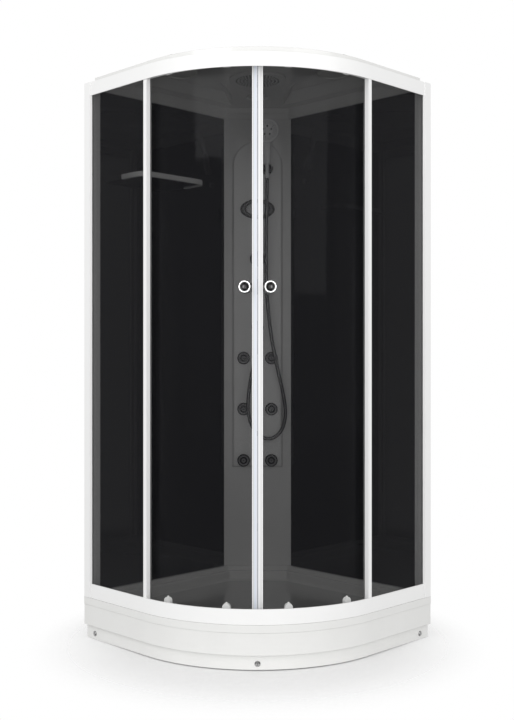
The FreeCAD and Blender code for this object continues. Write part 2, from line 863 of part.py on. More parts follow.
def make_rails():
    start = "post_inset + post_face + fitting_gap"
    face = strip(start, "rail_inset", "rail_inset + rail_skin")
    web = strip(start, "rail_inset", "rail_inset + rail_depth")
    lip = strip(start, "lip_inset", "lip_inset + lip_skin")

    bottom = new_body("bottom_rail")
    base = "tray_top + fitting_gap"
    pad(bottom, [web], "rail_skin", base)
    pad(bottom, [face], f"bottom_rail_top - ({base})", base)
    pad(bottom, [lip], "lip_height + rail_skin", base)
    node(bottom)

    top = new_body("top_rail_profile")
    pad(top, [web], "rail_skin", "rail_top - rail_skin")
    pad(top, [face], "rail_top - opening_top", "opening_top")
    ledge = ring_sector("roller_ledge", "side - flat_return - rail_inset - rail_skin / 2", "ledge_inner_radius",
                        "-ledge_overrun", "90 + 2 * ledge_overrun", "ledge_height", "ledge_skin")
    ledge_cutter = new_body("ledge_trim")
    pad(ledge_cutter, [outline("0", "rail_inset + 0.5")], "ledge_skin + 4", "ledge_height - 2")
    kept = doc.addObject("Part::Common", "roller_ledge_trimmed")
    kept.Base = ledge
    kept.Tool = ledge_cutter
    doc.recompute()
    node(joined("top_rail", [top, kept]))


def make_posts():
    """The left corner post: a face by the fixed glass and a flange that takes the wall panel."""
    face_low = f"post_inset - {HALF}"
    glass_low = f"fixed_glass_inset - glass_slot_gap - {HALF}"
    glass_high = f"fixed_glass_inset + glass_thickness + glass_slot_gap - {HALF}"
    right = f"post_inset + post_face - {HALF}"
    slot = f"post_inset + post_face - slot_depth - {HALF}"
    face_back = f"post_inset + post_depth - {HALF}"
    flange_right = f"post_flange + post_inset - {HALF}"
    flange_end = f"post_inset + post_depth + post_flange_back + slot_depth - {HALF}"
    panel_left = f"wall_panel_inset - glass_slot_gap - {HALF}"
    panel_right = f"wall_panel_inset + glass_thickness + glass_slot_gap - {HALF}"
    panel_end = f"post_inset + post_depth + post_flange_back - {HALF}"
    left = f"post_inset - {HALF}"
    part = new_body("left_post")
    section = [
        (left, face_low),
        (f"{right} - post_edge_slope", face_low),
        (right, glass_low),
        (slot, glass_low),
        (slot, glass_high),
        (right, glass_high),
        (right, face_back),
        (flange_right, face_back),
        (flange_right, flange_end),
        (panel_right, flange_end),
        (panel_right, panel_end),
        (panel_left, panel_end),
        (panel_left, flange_end),
        (left, flange_end),
    ]
    pad(part, [section], "rail_top - tray_top - fitting_gap - (upstand_top - tray_top)", "upstand_top + fitting_gap")
    foot = section[:7] + [(left, face_back)]
    pad(part, [foot], "upstand_top - tray_top + fitting_gap", "tray_top + fitting_gap")
    node(part)
    node(mirrored("right_post", part))


def make_stiles():
    low = f"rail_inset + rail_skin + fitting_gap - {HALF}"
    high = f"rail_inset + rail_skin + stile_depth - {HALF}"
    glass_low = f"fixed_glass_inset - glass_slot_gap - {HALF}"
    glass_high = f"fixed_glass_inset + glass_thickness + glass_slot_gap - {HALF}"
    left = f"flat_return - stile_before_arc - {HALF}"
    right = f"flat_return - stile_before_arc + stile_width - {HALF}"
    slot = f"flat_return - stile_before_arc + slot_depth - {HALF}"
    part = new_body("left_stile")
    section = [
        (left, low), (right, low), (right, high), (left, high),
        (left, glass_high), (slot, glass_high), (slot, glass_low), (left, glass_low),
    ]
    bottom = "tray_top + rail_skin + 2 * fitting_gap"
    pad(part, [section], f"ledge_height - fitting_gap - ({bottom})", bottom)
    node(part)
    node(mirrored("right_stile", part))


def make_fixed_glass():
    part = new_body("left_fixed_glass")
    bottom = "tray_top + rail_skin + 2 * fitting_gap"
    pane = [
        (f"post_inset + post_face - fixed_glass_bite - {HALF}", f"fixed_glass_inset - {HALF}"),
        (f"flat_return - stile_before_arc + fixed_glass_bite - {HALF}", f"fixed_glass_inset - {HALF}"),
        (f"flat_return - stile_before_arc + fixed_glass_bite - {HALF}", f"fixed_glass_inset + glass_thickness - {HALF}"),
        (f"post_inset + post_face - fixed_glass_bite - {HALF}", f"fixed_glass_inset + glass_thickness - {HALF}"),
    ]
    pad(part, [pane], f"ledge_height - 1 - ({bottom})", bottom)
    node(part)
    node(mirrored("right_fixed_glass", part))


def make_wall_panels():
    part = new_body("left_wall_panel")
    end = "side - post_inset - post_depth - post_flange_back - fitting_gap"
    panel = rectangle("wall_panel_inset", "wall_panel_from_corner", "wall_panel_inset + glass_thickness", end)
    pad(part, [panel], "wall_panel_top - upstand_top - fitting_gap", "upstand_top + fitting_gap")
    node(part)
    node(mirrored("right_wall_panel", part))


# ---------------------------------------------------------------- sliding doors

def make_door():
    """Everything on the left door; the right door is its mirror image."""
    radius = "door_glass_radius"
    height = "door_top - door_bottom"
    glass = ring_sector("door_pane", radius, f"{radius} - glass_thickness", "door_outer_angle",
                        "door_inner_angle - door_outer_angle", "door_bottom", height)
    holes = []
    for name, turn, place_z, bore in (
        ("outer", "roller_angle_outer", "roller_height", "axle_radius"),
        ("inner", "roller_angle_inner", "roller_height", "axle_radius"),
        ("guide_outer", "roller_angle_outer", "guide_bottom + 28", "axle_radius"),
        ("guide_inner", "roller_angle_inner", "guide_bottom + 28", "axle_radius"),
        ("knob", "knob_angle", "knob_height", "knob_stem_radius"),
    ):
        hole = doc.addObject("Part::Cylinder", f"door_hole_{name}")
        hole.setExpression("Radius", bind(f"{bore} + 0.3"))
        hole.Height = 30
        angle = Rotation(UP, size(turn)).multiply(Rotation(Vector(1, 0, 0), 90))
        start = Rotation(UP, size(turn)).multVec(Vector(0, -size(f"{radius} - 15"), 0))
        hole.Placement = Placement(start + Vector(size(ARC_X), size(ARC_Y), size(place_z)), angle)
        holes.append(hole)
    node(cut("left_door_pane", glass, joined("door_drills", holes)), "left_door_glass")
    node(mirrored("right_door_glass", doc.getObject("left_door_pane")))

    # the meeting seal grips the glass edge; the outer seal brushes the stile
    seals = []
    for name, start, end, slot_start, slot_end in (
        ("meeting", "seal_outer_angle", "seal_inner_angle", "seal_outer_angle - 1", "door_inner_angle"),
        ("outer", "edge_seal_start", "edge_seal_end", "door_outer_angle", "edge_seal_end + 1"),
    ):
        sleeve = ring_sector(f"{name}_sleeve", f"{radius} + seal_skin", f"{radius} - glass_thickness - seal_skin",
                             start, f"{end} - ({start})", "door_bottom", height)
        slot = ring_sector(f"{name}_slot", f"{radius} + 0.05", f"{radius} - glass_thickness - 0.05",
                           slot_start, f"{slot_end} - ({slot_start})", "door_bottom - 1", f"{height} + 2")
        seals.append(cut(f"{name}_seal", sleeve, slot))
    fin = ring_sector("outer_fin", "edge_fin_reach", f"{radius} + seal_skin / 2", "edge_seal_end - 2 * edge_fin_angle",
                      "edge_fin_angle", "edge_fin_low", "ledge_height - 3 - edge_fin_low")
    seals[1] = joined("outer_seal_finned", [seals[1], fin])
    grooves = []
    for number, place_angle in enumerate(("seal_inner_angle - 0.5", "seal_inner_angle - 1.45"), 1):
        grooves.append(ring_sector(f"seal_groove_{number}", f"{radius} + seal_skin + 1",
                                   f"{radius} + seal_skin - seal_groove_depth", place_angle, "0.22",
                                   "door_bottom - 1", f"{height} + 2"))
    seals[0] = cut("meeting_seal_grooved", seals[0], joined("seal_grooves", grooves))
    node(group("left_door_seals", seals))
    node(mirrored("right_door_seals", doc.getObject("left_door_seals")))

    make_door_knob()
    make_door_brackets()


def make_door_knob():
    out = "-door_glass_radius"
    inside = "glass_thickness - door_glass_radius"
    knob = turned("door_knob_blank", [
        ("0", f"{out} - knob_length + 9"),
        ("knob_radius * 0.55", f"{out} - knob_length + 7"),
        ("knob_radius * 0.8", f"{out} - knob_length"),
        ("knob_radius * 0.92", f"{out} - knob_length"),
        ("knob_radius", f"{out} - knob_length + 3"),
        ("knob_radius", f"{out} - knob_length * 0.55"),
        ("knob_radius * 0.62", f"{out} - 6"),
        ("knob_radius * 0.62", f"{out} - fitting_gap"),
        ("knob_stem_radius", f"{out} - fitting_gap"),
        ("knob_stem_radius", f"{inside} + 2 * fitting_gap"),
        ("knob_radius * 0.62", f"{inside} + 2 * fitting_gap"),
        ("knob_radius * 0.62", f"{inside} + 6"),
        ("knob_radius", f"{inside} + knob_length * 0.55"),
        ("knob_radius", f"{inside} + knob_length - 3"),
        ("knob_radius * 0.92", f"{inside} + knob_length"),
        ("0", f"{inside} + knob_length"),
    ])
    place(knob, ARC_X, ARC_Y, "knob_height", "knob_angle")
    node(knob, "left_door_knob")
    node(mirrored("right_door_knob", knob))


def make_door_brackets():
    """Top hangers with their axles, and bottom guides, as one set of pieces on each door."""
    out = "-door_glass_radius"
    hangers = []
    for name in ("outer", "inner"):
        turn = f"roller_angle_{name}"
        plate = block(f"hanger_plate_{name}", "24", "3", "32", "-12", f"{out} - fitting_gap - 3", "roller_height - 14")
        axle = cross_cylinder(f"hanger_axle_{name}", "axle_radius", "wheel_width + glass_thickness + 10.5", "0",
                              f"{out} + glass_thickness + 4", "roller_height")
        cap = cross_cylinder(f"hanger_nut_{name}", "axle_radius + 4", "4", "0", f"{out} + glass_thickness + 4.3",
                             "roller_height")
        hangers.append(at_door(joined(f"hanger_{name}", [plate, axle, cap]), turn))

        dome = new_body(f"guide_{name}")
        half = "guide_width / 2"
        pad(dome, [[
            (f"-{half}", "guide_bottom"),
            (half, "guide_bottom"),
            (half, "guide_shoulder", "0", "guide_shoulder", 1),
            ("release_radius + 1", "release_tip - release_proud"),
            ("-release_radius - 1", "release_tip - release_proud", "0", "guide_shoulder", 1),
            (f"-{half}", "guide_shoulder"),
        ]], "guide_thickness", "door_glass_radius + fitting_gap", "XZ_Plane")
        middle = f"{out} - fitting_gap - guide_thickness / 2"
        pocket(dome, [[("circle", "0", middle, "release_radius + 0.3")]], "release_bore_depth", "release_tip - release_proud")
        stud = cross_cylinder(f"guide_stud_{name}", "axle_radius", "glass_thickness + 6", "0",
                              f"{out} + glass_thickness + 4", "guide_bottom + 28")
        nut = cross_cylinder(f"guide_nut_{name}", "axle_radius + 4", "4", "0", f"{out} + glass_thickness + 4.3",
                             "guide_bottom + 28")
        hangers.append(at_door(joined(f"guide_set_{name}", [dome, stud, nut]), turn))

        wheel = turned(f"wheel_{name}", [
            ("axle_radius + running_gap", f"{out} - 5.5"),
            ("wheel_radius", f"{out} - 5.5"),
            ("wheel_radius", f"{out} - 5.5 - wheel_width"),
            ("axle_radius + running_gap", f"{out} - 5.5 - wheel_width"),
        ])
        place(wheel, ARC_X, ARC_Y, "roller_height", turn)
        node(wheel, f"left_{name}_wheel")
        node(mirrored(f"right_{name}_wheel", wheel))

        tip = turned(f"release_{name}", [
            ("0", "release_tip - release_proud - release_bore_depth + 4"),
            ("release_radius", "release_tip - release_proud - release_bore_depth + 4"),
            ("release_radius", "release_tip - 2"),
            ("release_radius * 0.55", "release_tip"),
            ("0", "release_tip"),
        ], "XZ_Plane")
        reach = "(door_glass_radius + fitting_gap + guide_thickness / 2)"
        place(tip, f"{ARC_X} + {reach} * sin({turn})", f"{ARC_Y} - {reach} * cos({turn})")
        node(tip, f"left_{name}_release_button")
        node(mirrored(f"right_{name}_release_button", tip))
    node(group("left_door_brackets", hangers))
    node(mirrored("right_door_brackets", doc.getObject("left_door_brackets")))


# ---------------------------------------------------------------- column

def make_column():
    """Corner column: a flat face across the corner, two wings on the walls and a raised arch."""
    part = new_body("corner_column")
    face = "-column_front"
    back = "column_skin - column_front"
    half = "column_half_width"
    plate = [
        (f"-{half}", face),
        (half, face),
        (f"{half} - wing_length * 0.707", f"{face} + wing_length * 0.707"),
        (f"{half} - wing_length * 0.707 - 4", f"{face} + wing_length * 0.707"),
        (f"{half} - 12", back),
        (f"12 - {half}", back),
        (f"4 - {half} + wing_length * 0.707", f"{face} + wing_length * 0.707"),
        (f"wing_length * 0.707 - {half}", f"{face} + wing_length * 0.707"),
    ]
    pad(part, [plate], "column_top - upstand_top - fitting_gap", "upstand_top + fitting_gap")
    wide = "relief_half_width"
    arch = [
        (f"-{wide}", "relief_bottom"),
        (wide, "relief_bottom"),
        (wide, "relief_arch_centre", "0", "relief_arch_centre", 1),
        (f"-{wide}", "relief_arch_centre"),
    ]
    pad(part, [arch], "relief_depth", "column_front", "XZ_Plane")
    front = size("-column_front - relief_depth")
    round_edges(part, "relief_round", lambda edge: abs(edge.BoundBox.YMin - front) < 0.01
                and abs(edge.BoundBox.YMax - front) < 0.01)
    holes = []
    for height in ("jet_top", "jet_middle", "jet_bottom"):
        for way in ("-1", "1"):
            holes.append([("circle", f"{way} * jet_offset", height, "jet_ball_radius + 3.5")])
    for height in ("diverter_height", "mixer_height", "outlet_height"):
        holes.append([("circle", "0", height, "spindle_radius + 5")])
    pocket(part, holes, "relief_depth + column_skin + 2", "column_front + relief_depth + 1", "XZ_Plane")
    pocket(part, [[("circle", "0", "steam_outlet_height", "steam_outlet_radius - 4")]], "column_skin + 2",
           "column_front + 1", "XZ_Plane")
    node(at_front(part))


def make_jets():
    """Six body jets: a chrome ring with a rear socket, and a ball nozzle that swivels in it."""
    face = "-column_front - relief_depth - fitting_gap"
    rings = []
    number = 0
    for height in ("jet_top", "jet_middle", "jet_bottom"):
        for way in ("-1", "1"):
            number += 1
            ring = turned(f"jet_ring_{number}", [
                ("jet_ball_radius + jet_ball_gap", face),
                ("jet_ball_radius + jet_ball_gap", f"{face} - jet_ring_height * 0.6"),
                ("jet_ring_radius * 0.72", f"{face} - jet_ring_height"),
                ("jet_ring_radius * 0.9", f"{face} - jet_ring_height"),
                ("jet_ring_radius", f"{face} - jet_ring_height * 0.5"),
                ("jet_ring_radius", face),
                ("jet_ball_radius + 3", face),
                ("jet_ball_radius + 3", f"{face} + jet_body_depth"),
                ("6", f"{face} + jet_body_depth"),
                ("6", f"{face} + jet_body_depth - 3"),
                ("jet_ball_radius + jet_ball_gap", f"{face} + jet_body_depth - 3"),
            ])
            rings.append(at_spot(ring, f"{way} * jet_offset", height))
            ball = turned(f"jet_ball_{number}", [
                ("0", f"{face} + jet_ball_radius"),
                ("jet_ball_radius * 0.5", f"{face} + jet_ball_radius * 0.866"),
                ("jet_ball_radius * 0.866", f"{face} + jet_ball_radius * 0.5"),
                ("jet_ball_radius", face),
                ("jet_ball_radius * 0.9", f"{face} - jet_ball_radius * 0.436"),
                ("jet_ball_radius * 0.7", f"{face} - jet_ball_radius * 0.6"),
                ("jet_ball_radius * 0.45", f"{face} - jet_ball_radius * 0.6"),
                ("jet_ball_radius * 0.25", f"{face} - jet_ball_radius * 0.3"),
                ("0", f"{face} - jet_ball_radius * 0.3"),
            ])
            at_spot(ball, f"{way} * jet_offset", height)
            node(ball, f"jet_nozzle_{number}")
    node(group("jet_rings", rings))


def at_spot(thing, side_way, height):
    """Put a piece turned in the front frame on the column, off its middle line."""
    x = f"-side / 2 + ({side_way}) * cos(45)"
    y = f"side / 2 + ({side_way}) * sin(45)"
    return place(thing, x, y, height, str(DIAGONAL_TURN))


def make_valves():
    face = "-column_front - relief_depth - fitting_gap"
    trim = []
    for name in ("diverter", "mixer"):
        disc = turned(f"{name}_escutcheon", [
            ("spindle_radius + running_gap", face),
            ("spindle_radius + running_gap", f"{face} - trim_height"),
            ("trim_radius * 0.7", f"{face} - trim_height"),
            ("trim_radius", f"{face} - trim_height * 0.35"),
            ("trim_radius", face),
        ])
        trim.append(at_spot(disc, "0", f"{name}_height"))
        front = f"{face} - trim_height - trim_gap"
        grip = turned(f"{name}_grip", [
            ("0", f"{front} - valve_knob_length"),
            ("valve_knob_radius * 0.8", f"{front} - valve_knob_length"),
            ("valve_knob_radius * 0.9", f"{front} - valve_knob_length + 3"),
            ("valve_knob_radius", f"{front} - valve_knob_length * 0.4"),
            ("valve_knob_radius * 0.75", front),
            ("spindle_radius", front),
            ("spindle_radius", f"{face} + relief_depth + column_skin + 4"),
            ("0", f"{face} + relief_depth + column_skin + 4"),
        ])
        pointer = block(f"{name}_pointer", "6", "valve_knob_length * 0.5", "9", "-3", f"{front} - valve_knob_length * 0.9",
                        "valve_knob_radius - 7.5")
        node(at_spot(joined(f"{name}_knob", [grip, pointer]), "0", f"{name}_height"))

    disc = turned("outlet_disc", [
        ("0", f"{face} + 12"),
        ("spindle_radius + 4", f"{face} + 12"),
        ("spindle_radius + 4", face),
        ("outlet_disc_radius", face),
        ("outlet_disc_radius", f"{face} - 3"),
        ("outlet_disc_radius * 0.55", f"{face} - 9"),
        ("outlet_radius", f"{face} - 12"),
        ("outlet_radius", f"{face} - outlet_reach + outlet_radius"),
        ("0", f"{face} - outlet_reach + outlet_radius"),
    ])
    elbow = doc.addObject("Part::Sphere", "outlet_elbow")
    elbow.setExpression("Radius", bind("outlet_radius"))
    place(elbow, "0", f"{face} - outlet_reach + outlet_radius", "0")
    drop = cylinder("outlet_drop_pipe", "outlet_radius", "outlet_drop", "0", f"{face} - outlet_reach + outlet_radius",
                    "-outlet_drop")
    trim.append(at_spot(joined("hose_outlet", [disc, elbow, drop]), "0", "outlet_height"))

    trim.append(holder_bracket())
    node(group("column_trim", trim))


# ---------------------------------------------------------------- hand shower, holder and hose

def holder_bracket():
    """Wall bracket of the hand shower: a round foot and a fork whose ears carry the tilting socket."""
    foot = turned("holder_foot", [
        ("0", "-column_front - relief_depth - fitting_gap"),
        ("trim_radius * 0.62", "-column_front - relief_depth - fitting_gap"),
        ("trim_radius * 0.62", "-column_front - relief_depth - 4"),
        ("fork_radius + 2", "-column_front - relief_depth - 8"),
        ("0", "-column_front - relief_depth - 8"),
    ])
    stand_off = size("holder_stand_off")
    ear_inside = size("socket_radius + fork_gap")
    ear = size("fork_thickness")
    high = size("fork_radius")
    wide = ear_inside + ear
    yoke_front = stand_off - 8 - YOKE_DEPTH
    yoke = Part.makeBox(2 * wide, YOKE_DEPTH + 2, 2 * high, Vector(-wide, yoke_front, -high))
    fork = [yoke]
    for inner in (ear_inside, -wide):
        fork.append(Part.makeBox(ear, yoke_front + 1, 2 * high, Vector(inner, 0, -high)))
        fork.append(Part.makeCylinder(high, ear, Vector(inner, 0, 0), Vector(1, 0, 0)))
    bores = Part.makeCylinder(size("pivot_radius + running_gap"), 3 * wide, Vector(-1.5 * wide, 0, 0), Vector(1, 0, 0))
    shape = fork[0].fuse(fork[1:]).cut(bores).removeSplitter()
    middle = Vector(0, -size("column_front + relief_depth") - stand_off, 0)
    arms = shaped("holder_fork", shape, Placement(middle, Rotation()))
    return at_spot(joined("holder_bracket", [foot, arms]), "handset_side", "holder_height")


YOKE_DEPTH = 6


def handset_frame():
    """The handset's own frame: up the handle, facing out, at the middle of its socket."""
    lean = Rotation(Vector(1, 0, 0), size("handset_lean"))
    out = size("column_front + relief_depth + holder_stand_off")
    base = front_point(size("handset_side"), out, size("holder_height"))
    return Placement(base, Rotation(UP, DIAGONAL_TURN).multiply(lean))


def make_handset():
    frame = handset_frame()
    height = size("socket_height")
    top = size("cone_top_radius")
    foot = size("cone_foot_radius")
    drop = size("cone_drop")
    grip = size("handle_radius")
    start = size("handle_start")
    head_up = size("head_distance")
    head = size("head_radius")
    thick = size("head_thickness")
    gap = size("fitting_gap")
    taper = (top - foot) / (start + drop)

    # a cone that sits in the socket, domed about the tilting axis, under a thicker handle and a round head
    neck = head_up - head * 0.92
    cone = Part.makeCone(foot, top, drop + start, Vector(0, 0, -drop), UP)
    cone = cone.cut(Part.makeCylinder(2 * foot, drop / 2, Vector(0, 0, -1.5 * drop + 10), UP).cut(Part.makeSphere(drop)))
    shoulder = Part.makeCone(top, grip, 5, Vector(0, 0, start), UP)
    upper = Part.makeCone(grip, grip * 1.02, neck - start - 5, Vector(0, 0, start + 5), UP)
    throat = Part.makeCone(grip * 1.02, grip * 0.66, head * 0.7, Vector(0, 0, neck), UP)
    front = -thick * 0.45
    outline_points = [
        (0, front), (head * 0.9, front), (head, front + 3), (head, front + thick * 0.45),
        (head * 0.8, front + thick * 0.8), (head * 0.35, front + thick), (0, front + thick),
    ]
    wire = Part.makePolygon([Vector(r, y, 0) for r, y in outline_points + outline_points[:1]])
    disc = Part.Face(wire).revolve(Vector(0, 0, 0), Vector(0, 1, 0), 360)
    disc.translate(Vector(0, 0, head_up))
    recess = Part.makeCylinder(head * 0.84, 1.2, Vector(0, front - 0.2, head_up), Vector(0, 1, 0))
    waterway = Part.makeCylinder(foot * 0.6, drop + head_up, Vector(0, 0, -drop - 1), UP)
    chamber = Part.makeCylinder(head * 0.8, thick * 0.4, Vector(0, front + 3.5, head_up), Vector(0, 1, 0))
    shower = cone.fuse([shoulder, upper, throat, disc]).removeSplitter().cut([recess, waterway, chamber])
    node(shaped("hand_shower", shower, frame))

    # the socket: a slotted cup with a seat that follows the cone's taper, on two side pivots
    low = -height * 0.5
    cup = Part.makeCylinder(size("socket_radius"), height, Vector(0, 0, low), UP)
    low_bore = foot + taper * (low + drop) + gap
    seat = Part.makeCone(low_bore, low_bore + taper * height, height, Vector(0, 0, low), UP)
    slot = Part.makeBox(size("socket_slot"), 40, height + 2, Vector(-size("socket_slot") / 2, -40, low - 1))
    reach = size("socket_radius + fork_gap + fork_thickness + 1")
    pivots = Part.makeCylinder(size("pivot_radius"), 2 * reach, Vector(-reach, 0, 0), Vector(1, 0, 0))
    holder = cup.fuse(pivots).cut(seat).cut(slot)
    node(shaped("handset_holder", holder.removeSplitter(), frame))


def hose_route():
    """Points of the hose from the handle's foot to the outlet, in the front frame."""
    face = size("column_front + relief_depth")
    starts = []
    for down in ("cone_drop + fitting_gap", "cone_drop + 50"):
        starts.append(FRONT.inverse().multVec(handset_frame().multVec(Vector(0, 0, -size(down)))))
    outlet_out = face + size("fitting_gap + outlet_reach - outlet_radius")
    outlet_low = size("outlet_height - outlet_drop - fitting_gap")
    inner = [
        (38, 209, 1650),
        (36, 206, 1560),
        (35, 205, 1380),
        (38, 205, 1290),
        (45, 205, 1210),
        (57, 205, 1120),
        (74, 204, 1030),
        (93, 203, 940),
        (109, 203, 860),
        (118.5, 203, 780),
        (107.6, 204, 739.5),
        (78, 204.5, 709.9),
        (37.5, 205, 699),
        (-3, 206, 709.9),
        (-32.6, 207, 739.5),
        (-43.5, 208, 780),
        (-42, 209, 850),
        (-33, 211, 935),
        (-13, 213, 1020),
    ]
    points = starts + [Vector(x, -out, z) for x, out, z in inner]
    return points + [Vector(0, -outlet_out, outlet_low - 50), Vector(0, -outlet_out, outlet_low)]


def make_hose():
    """A metal-clad hose: straight runs joined by tangent arcs, as wide as the corners allow."""
    points = hose_route()
    radius = size("hose_radius")
    edges = []
    length = 0
    radii = []
    here = points[0]
    for before, corner, after in zip(points, points[1:], points[2:]):
        into = corner - before
        away = after - corner
        turn = into.getAngle(away)
        reach = 0.45 * min(into.Length, away.Length)
        bend = reach / math.tan(turn / 2)
        radii.append(bend)
        start = corner - into.normalize() * reach
        end = corner + away.normalize() * reach
        middle_way = (away - into).normalize()
        middle = corner + middle_way * (bend / math.cos(turn / 2) - bend)
        edges.append(Part.LineSegment(here, start).toShape())
        edges.append(Part.Arc(start, middle, end).toShape())
        length += (start - here).Length + bend * turn
        here = end
    edges.append(Part.LineSegment(here, points[-1]).toShape())
    length += (points[-1] - here).Length
    path = Part.Wire(edges)
    ring = Part.Wire(Part.makeCircle(radius, points[0], points[1] - points[0]))
    tube = path.makePipeShell([ring], True, False)
    expected = math.pi * radius ** 2 * length
    print("hose radii", [round(r) for r in radii])
    print(f"hose length {length:.0f}, volume ratio {tube.Volume / expected:.4f}")
    node(shaped("shower_hose", tube, FRONT))


# ---------------------------------------------------------------- control panel

def make_control_panel():
    face = size("column_front + relief_depth + fitting_gap")
    half_width = size("panel_half_width")
    half_height = size("panel_half_height")
    band = size("bezel_band")
    middle = Vector(0, -face, size("panel_height"))

    def oval(wide, tall, start, thickness):
        ellipse = Part.Ellipse(Vector(0, 0, 0), wide, tall).toShape()
        ellipse.rotate(Vector(0, 0, 0), Vector(1, 0, 0), 90)
        ellipse.translate(middle + Vector(0, -start, 0))
        return Part.Face(Part.Wire(ellipse)).extrude(Vector(0, -thickness, 0))

    height = size("bezel_height")
    ring = oval(half_width, half_height, 0, height * 0.55)
    crown = oval(half_width - 3, half_height - 3, height * 0.55, height * 0.45)
    bezel = ring.fuse(crown).cut(oval(half_width - band, half_height - band, -1, height + 2))
    node(shaped("panel_bezel", bezel.removeSplitter(), FRONT))

    clear = size("trim_gap")
    plate = oval(half_width - band - clear, half_height - band - clear, 0, size("panel_height_off_column"))
    window_wide = 34
    window = Part.makeBox(window_wide, 3, 17, Vector(-window_wide / 2, -face - size("panel_height_off_column") - 1,
                                                    size("panel_height") - 1))
    plate = plate.cut(window)
    for way in (-1, 1):
        spot = Vector(way * size("button_offset"), 0, size("panel_height - button_drop"))
        well = size("button_radius + 0.25")
        start = spot + Vector(0, -face - 2, 0)
        plate = plate.cut(Part.makeCylinder(well, size("panel_height_off_column"), start, Vector(0, -1, 0)))
        low = face + 2 + size("button_travel") + 0.3
        reach = face + size("panel_height_off_column + button_proud") - low
        button = Part.makeCylinder(size("button_radius"), reach, spot + Vector(0, -low, 0), Vector(0, -1, 0))
        name = "light_button" if way < 0 else "steam_button"
        node(shaped(name, button.makeFillet(0.6, [button.Edges[0]]), FRONT))
    node(shaped("control_panel", plate, FRONT))


# ---------------------------------------------------------------- roof and ceiling

def dome_wire(height, inset=0):
    """The edge of the left ceiling recess, drawn in by an inset, in the row frame."""
    wall = size("dome_wall_margin") + inset
    centre = size("flat_return")
    reach = size("side - dome_front_margin - flat_return") - inset
    arc = size("dome_arc_radius") - inset
    left_way = size("dome_half_gap + dome_arc_radius") / math.sqrt(2)
    out = size("dome_arc_from_corner") / math.sqrt(2)
    arc_u = out - left_way
    arc_v = out + left_way

    # the side arc meets the wall side at the back and the front arc near the middle
    back_v = arc_v - math.sqrt(arc ** 2 - (wall - arc_u) ** 2)
    between = math.hypot(arc_u - centre, arc_v - centre)
    along = (between ** 2 + reach ** 2 - arc ** 2) / (2 * between)
    turn_to_arc = math.atan2(arc_v - centre, arc_u - centre)
    meet_turn = turn_to_arc - math.acos(along / reach)
    meet_u = centre + reach * math.cos(meet_turn)
    meet_v = centre + reach * math.sin(meet_turn)
    side_turn = (math.atan2(back_v - arc_v, wall - arc_u) + math.atan2(meet_v - arc_v, meet_u - arc_u)) / 2
    front_turn = (meet_turn + math.pi / 2) / 2
    back = cabin_point(wall, back_v, height)
    side_middle = cabin_point(arc_u + arc * math.cos(side_turn), arc_v + arc * math.sin(side_turn), height)
    meet = cabin_point(meet_u, meet_v, height)
    front_middle = cabin_point(centre + reach * math.cos(front_turn), centre + reach * math.sin(front_turn), height)
    flat_end = cabin_point(centre, centre + reach, height)
    corner = cabin_point(wall, centre + reach, height)
    return Part.Wire([
        Part.Arc(back, side_middle, meet).toShape(),
        Part.Arc(meet, front_middle, flat_end).toShape(),
        Part.LineSegment(flat_end, corner).toShape(),
        Part.LineSegment(corner, back).toShape(),
    ])


def make_roof():
    """Moulded roof: a flat middle band with a shallow dome on each side, and a rim all round."""
    shell = new_body("roof_shell")
    rim_top = "roof_rim_top"
    wall_bottom = "wall_panel_top + fitting_gap"
    pad(shell, [outline("roof_wall_inset", "roof_front_inset")], f"{rim_top} - rail_top - fitting_gap",
        "rail_top + fitting_gap")
    inner = "roof_wall_inset + cornice_width"
    end = "post_inset + post_depth + post_flange_back + slot_depth + fitting_gap"
    cornice = [
        (f"roof_wall_inset - {HALF}", f"{end} - {HALF}"),
        (f"{inner} - {HALF}", f"{end} - {HALF}"),
        (f"{inner} - {HALF}", f"{HALF} - corner_cut + {inner}"),
        (f"corner_cut - ({inner}) - {HALF}", f"{HALF} - ({inner})"),
        (f"{HALF} - ({end})", f"{HALF} - ({inner})"),
        (f"{HALF} - ({end})", f"{HALF} - roof_wall_inset"),
        (f"roof_wall_inset - {HALF}", f"{HALF} - roof_wall_inset"),
    ]
    pad(shell, [cornice], f"rail_top + fitting_gap - ({wall_bottom})", wall_bottom)
    pocket(shell, [outline(inner, "roof_front_inset + roof_skin", "corner_cut + 3")],
           f"{rim_top} - roof_skin - ({wall_bottom}) + 5", f"{rim_top} - roof_skin")
    room = "(roof_wall_inset + 14)"
    corner_room = [
        (f"{room} - {HALF}", f"{HALF} - {room}"),
        (f"corner_cut - 12 - {room} - {HALF}", f"{HALF} - {room}"),
        (f"{room} - {HALF}", f"{HALF} - corner_cut + 12 + {room}"),
    ]
    pocket(shell, [corner_room], f"{rim_top} - roof_skin - ({wall_bottom}) + 5", f"{rim_top} - roof_skin")

    top = size(rim_top)
    skin = size("roof_skin")
    rise = size("dome_rise")
    draw_in = size("dome_draw_in")
    base = top - skin
    below = 2
    slope = draw_in / rise
    hollow = Part.makeLoft([dome_wire(base - below, -slope * below), dome_wire(base + rise, draw_in)], True, True)
    mass = Part.makeLoft([dome_wire(base, -skin), dome_wire(base + rise + skin, slope * (rise + skin) - skin)],
                         True, True)
    mirror = (Vector(0, 0, 0), Vector(1, 1, 0))
    whole = shell.Shape.fuse([mass, mass.mirror(*mirror)])
    whole = whole.cut([hollow, hollow.mirror(*mirror)])
    holes = []
    for radius, side_way, out in (
        (size("fan_radius + fan_collar + 1"), 0, size("fan_from_corner")),
        (size("pipe_radius + 1"), 0, size("rain_from_corner")),
        (size("pipe_radius + 1"), size("riser_offset"), size("riser_from_corner")),
    ):
        holes.append(Part.makeCylinder(radius, 120, front_point(side_way, out, top - 60), UP))
    whole = whole.cut(holes).removeSplitter()
    shell.Label = "roof_blank"
    node(shaped("roof", whole))


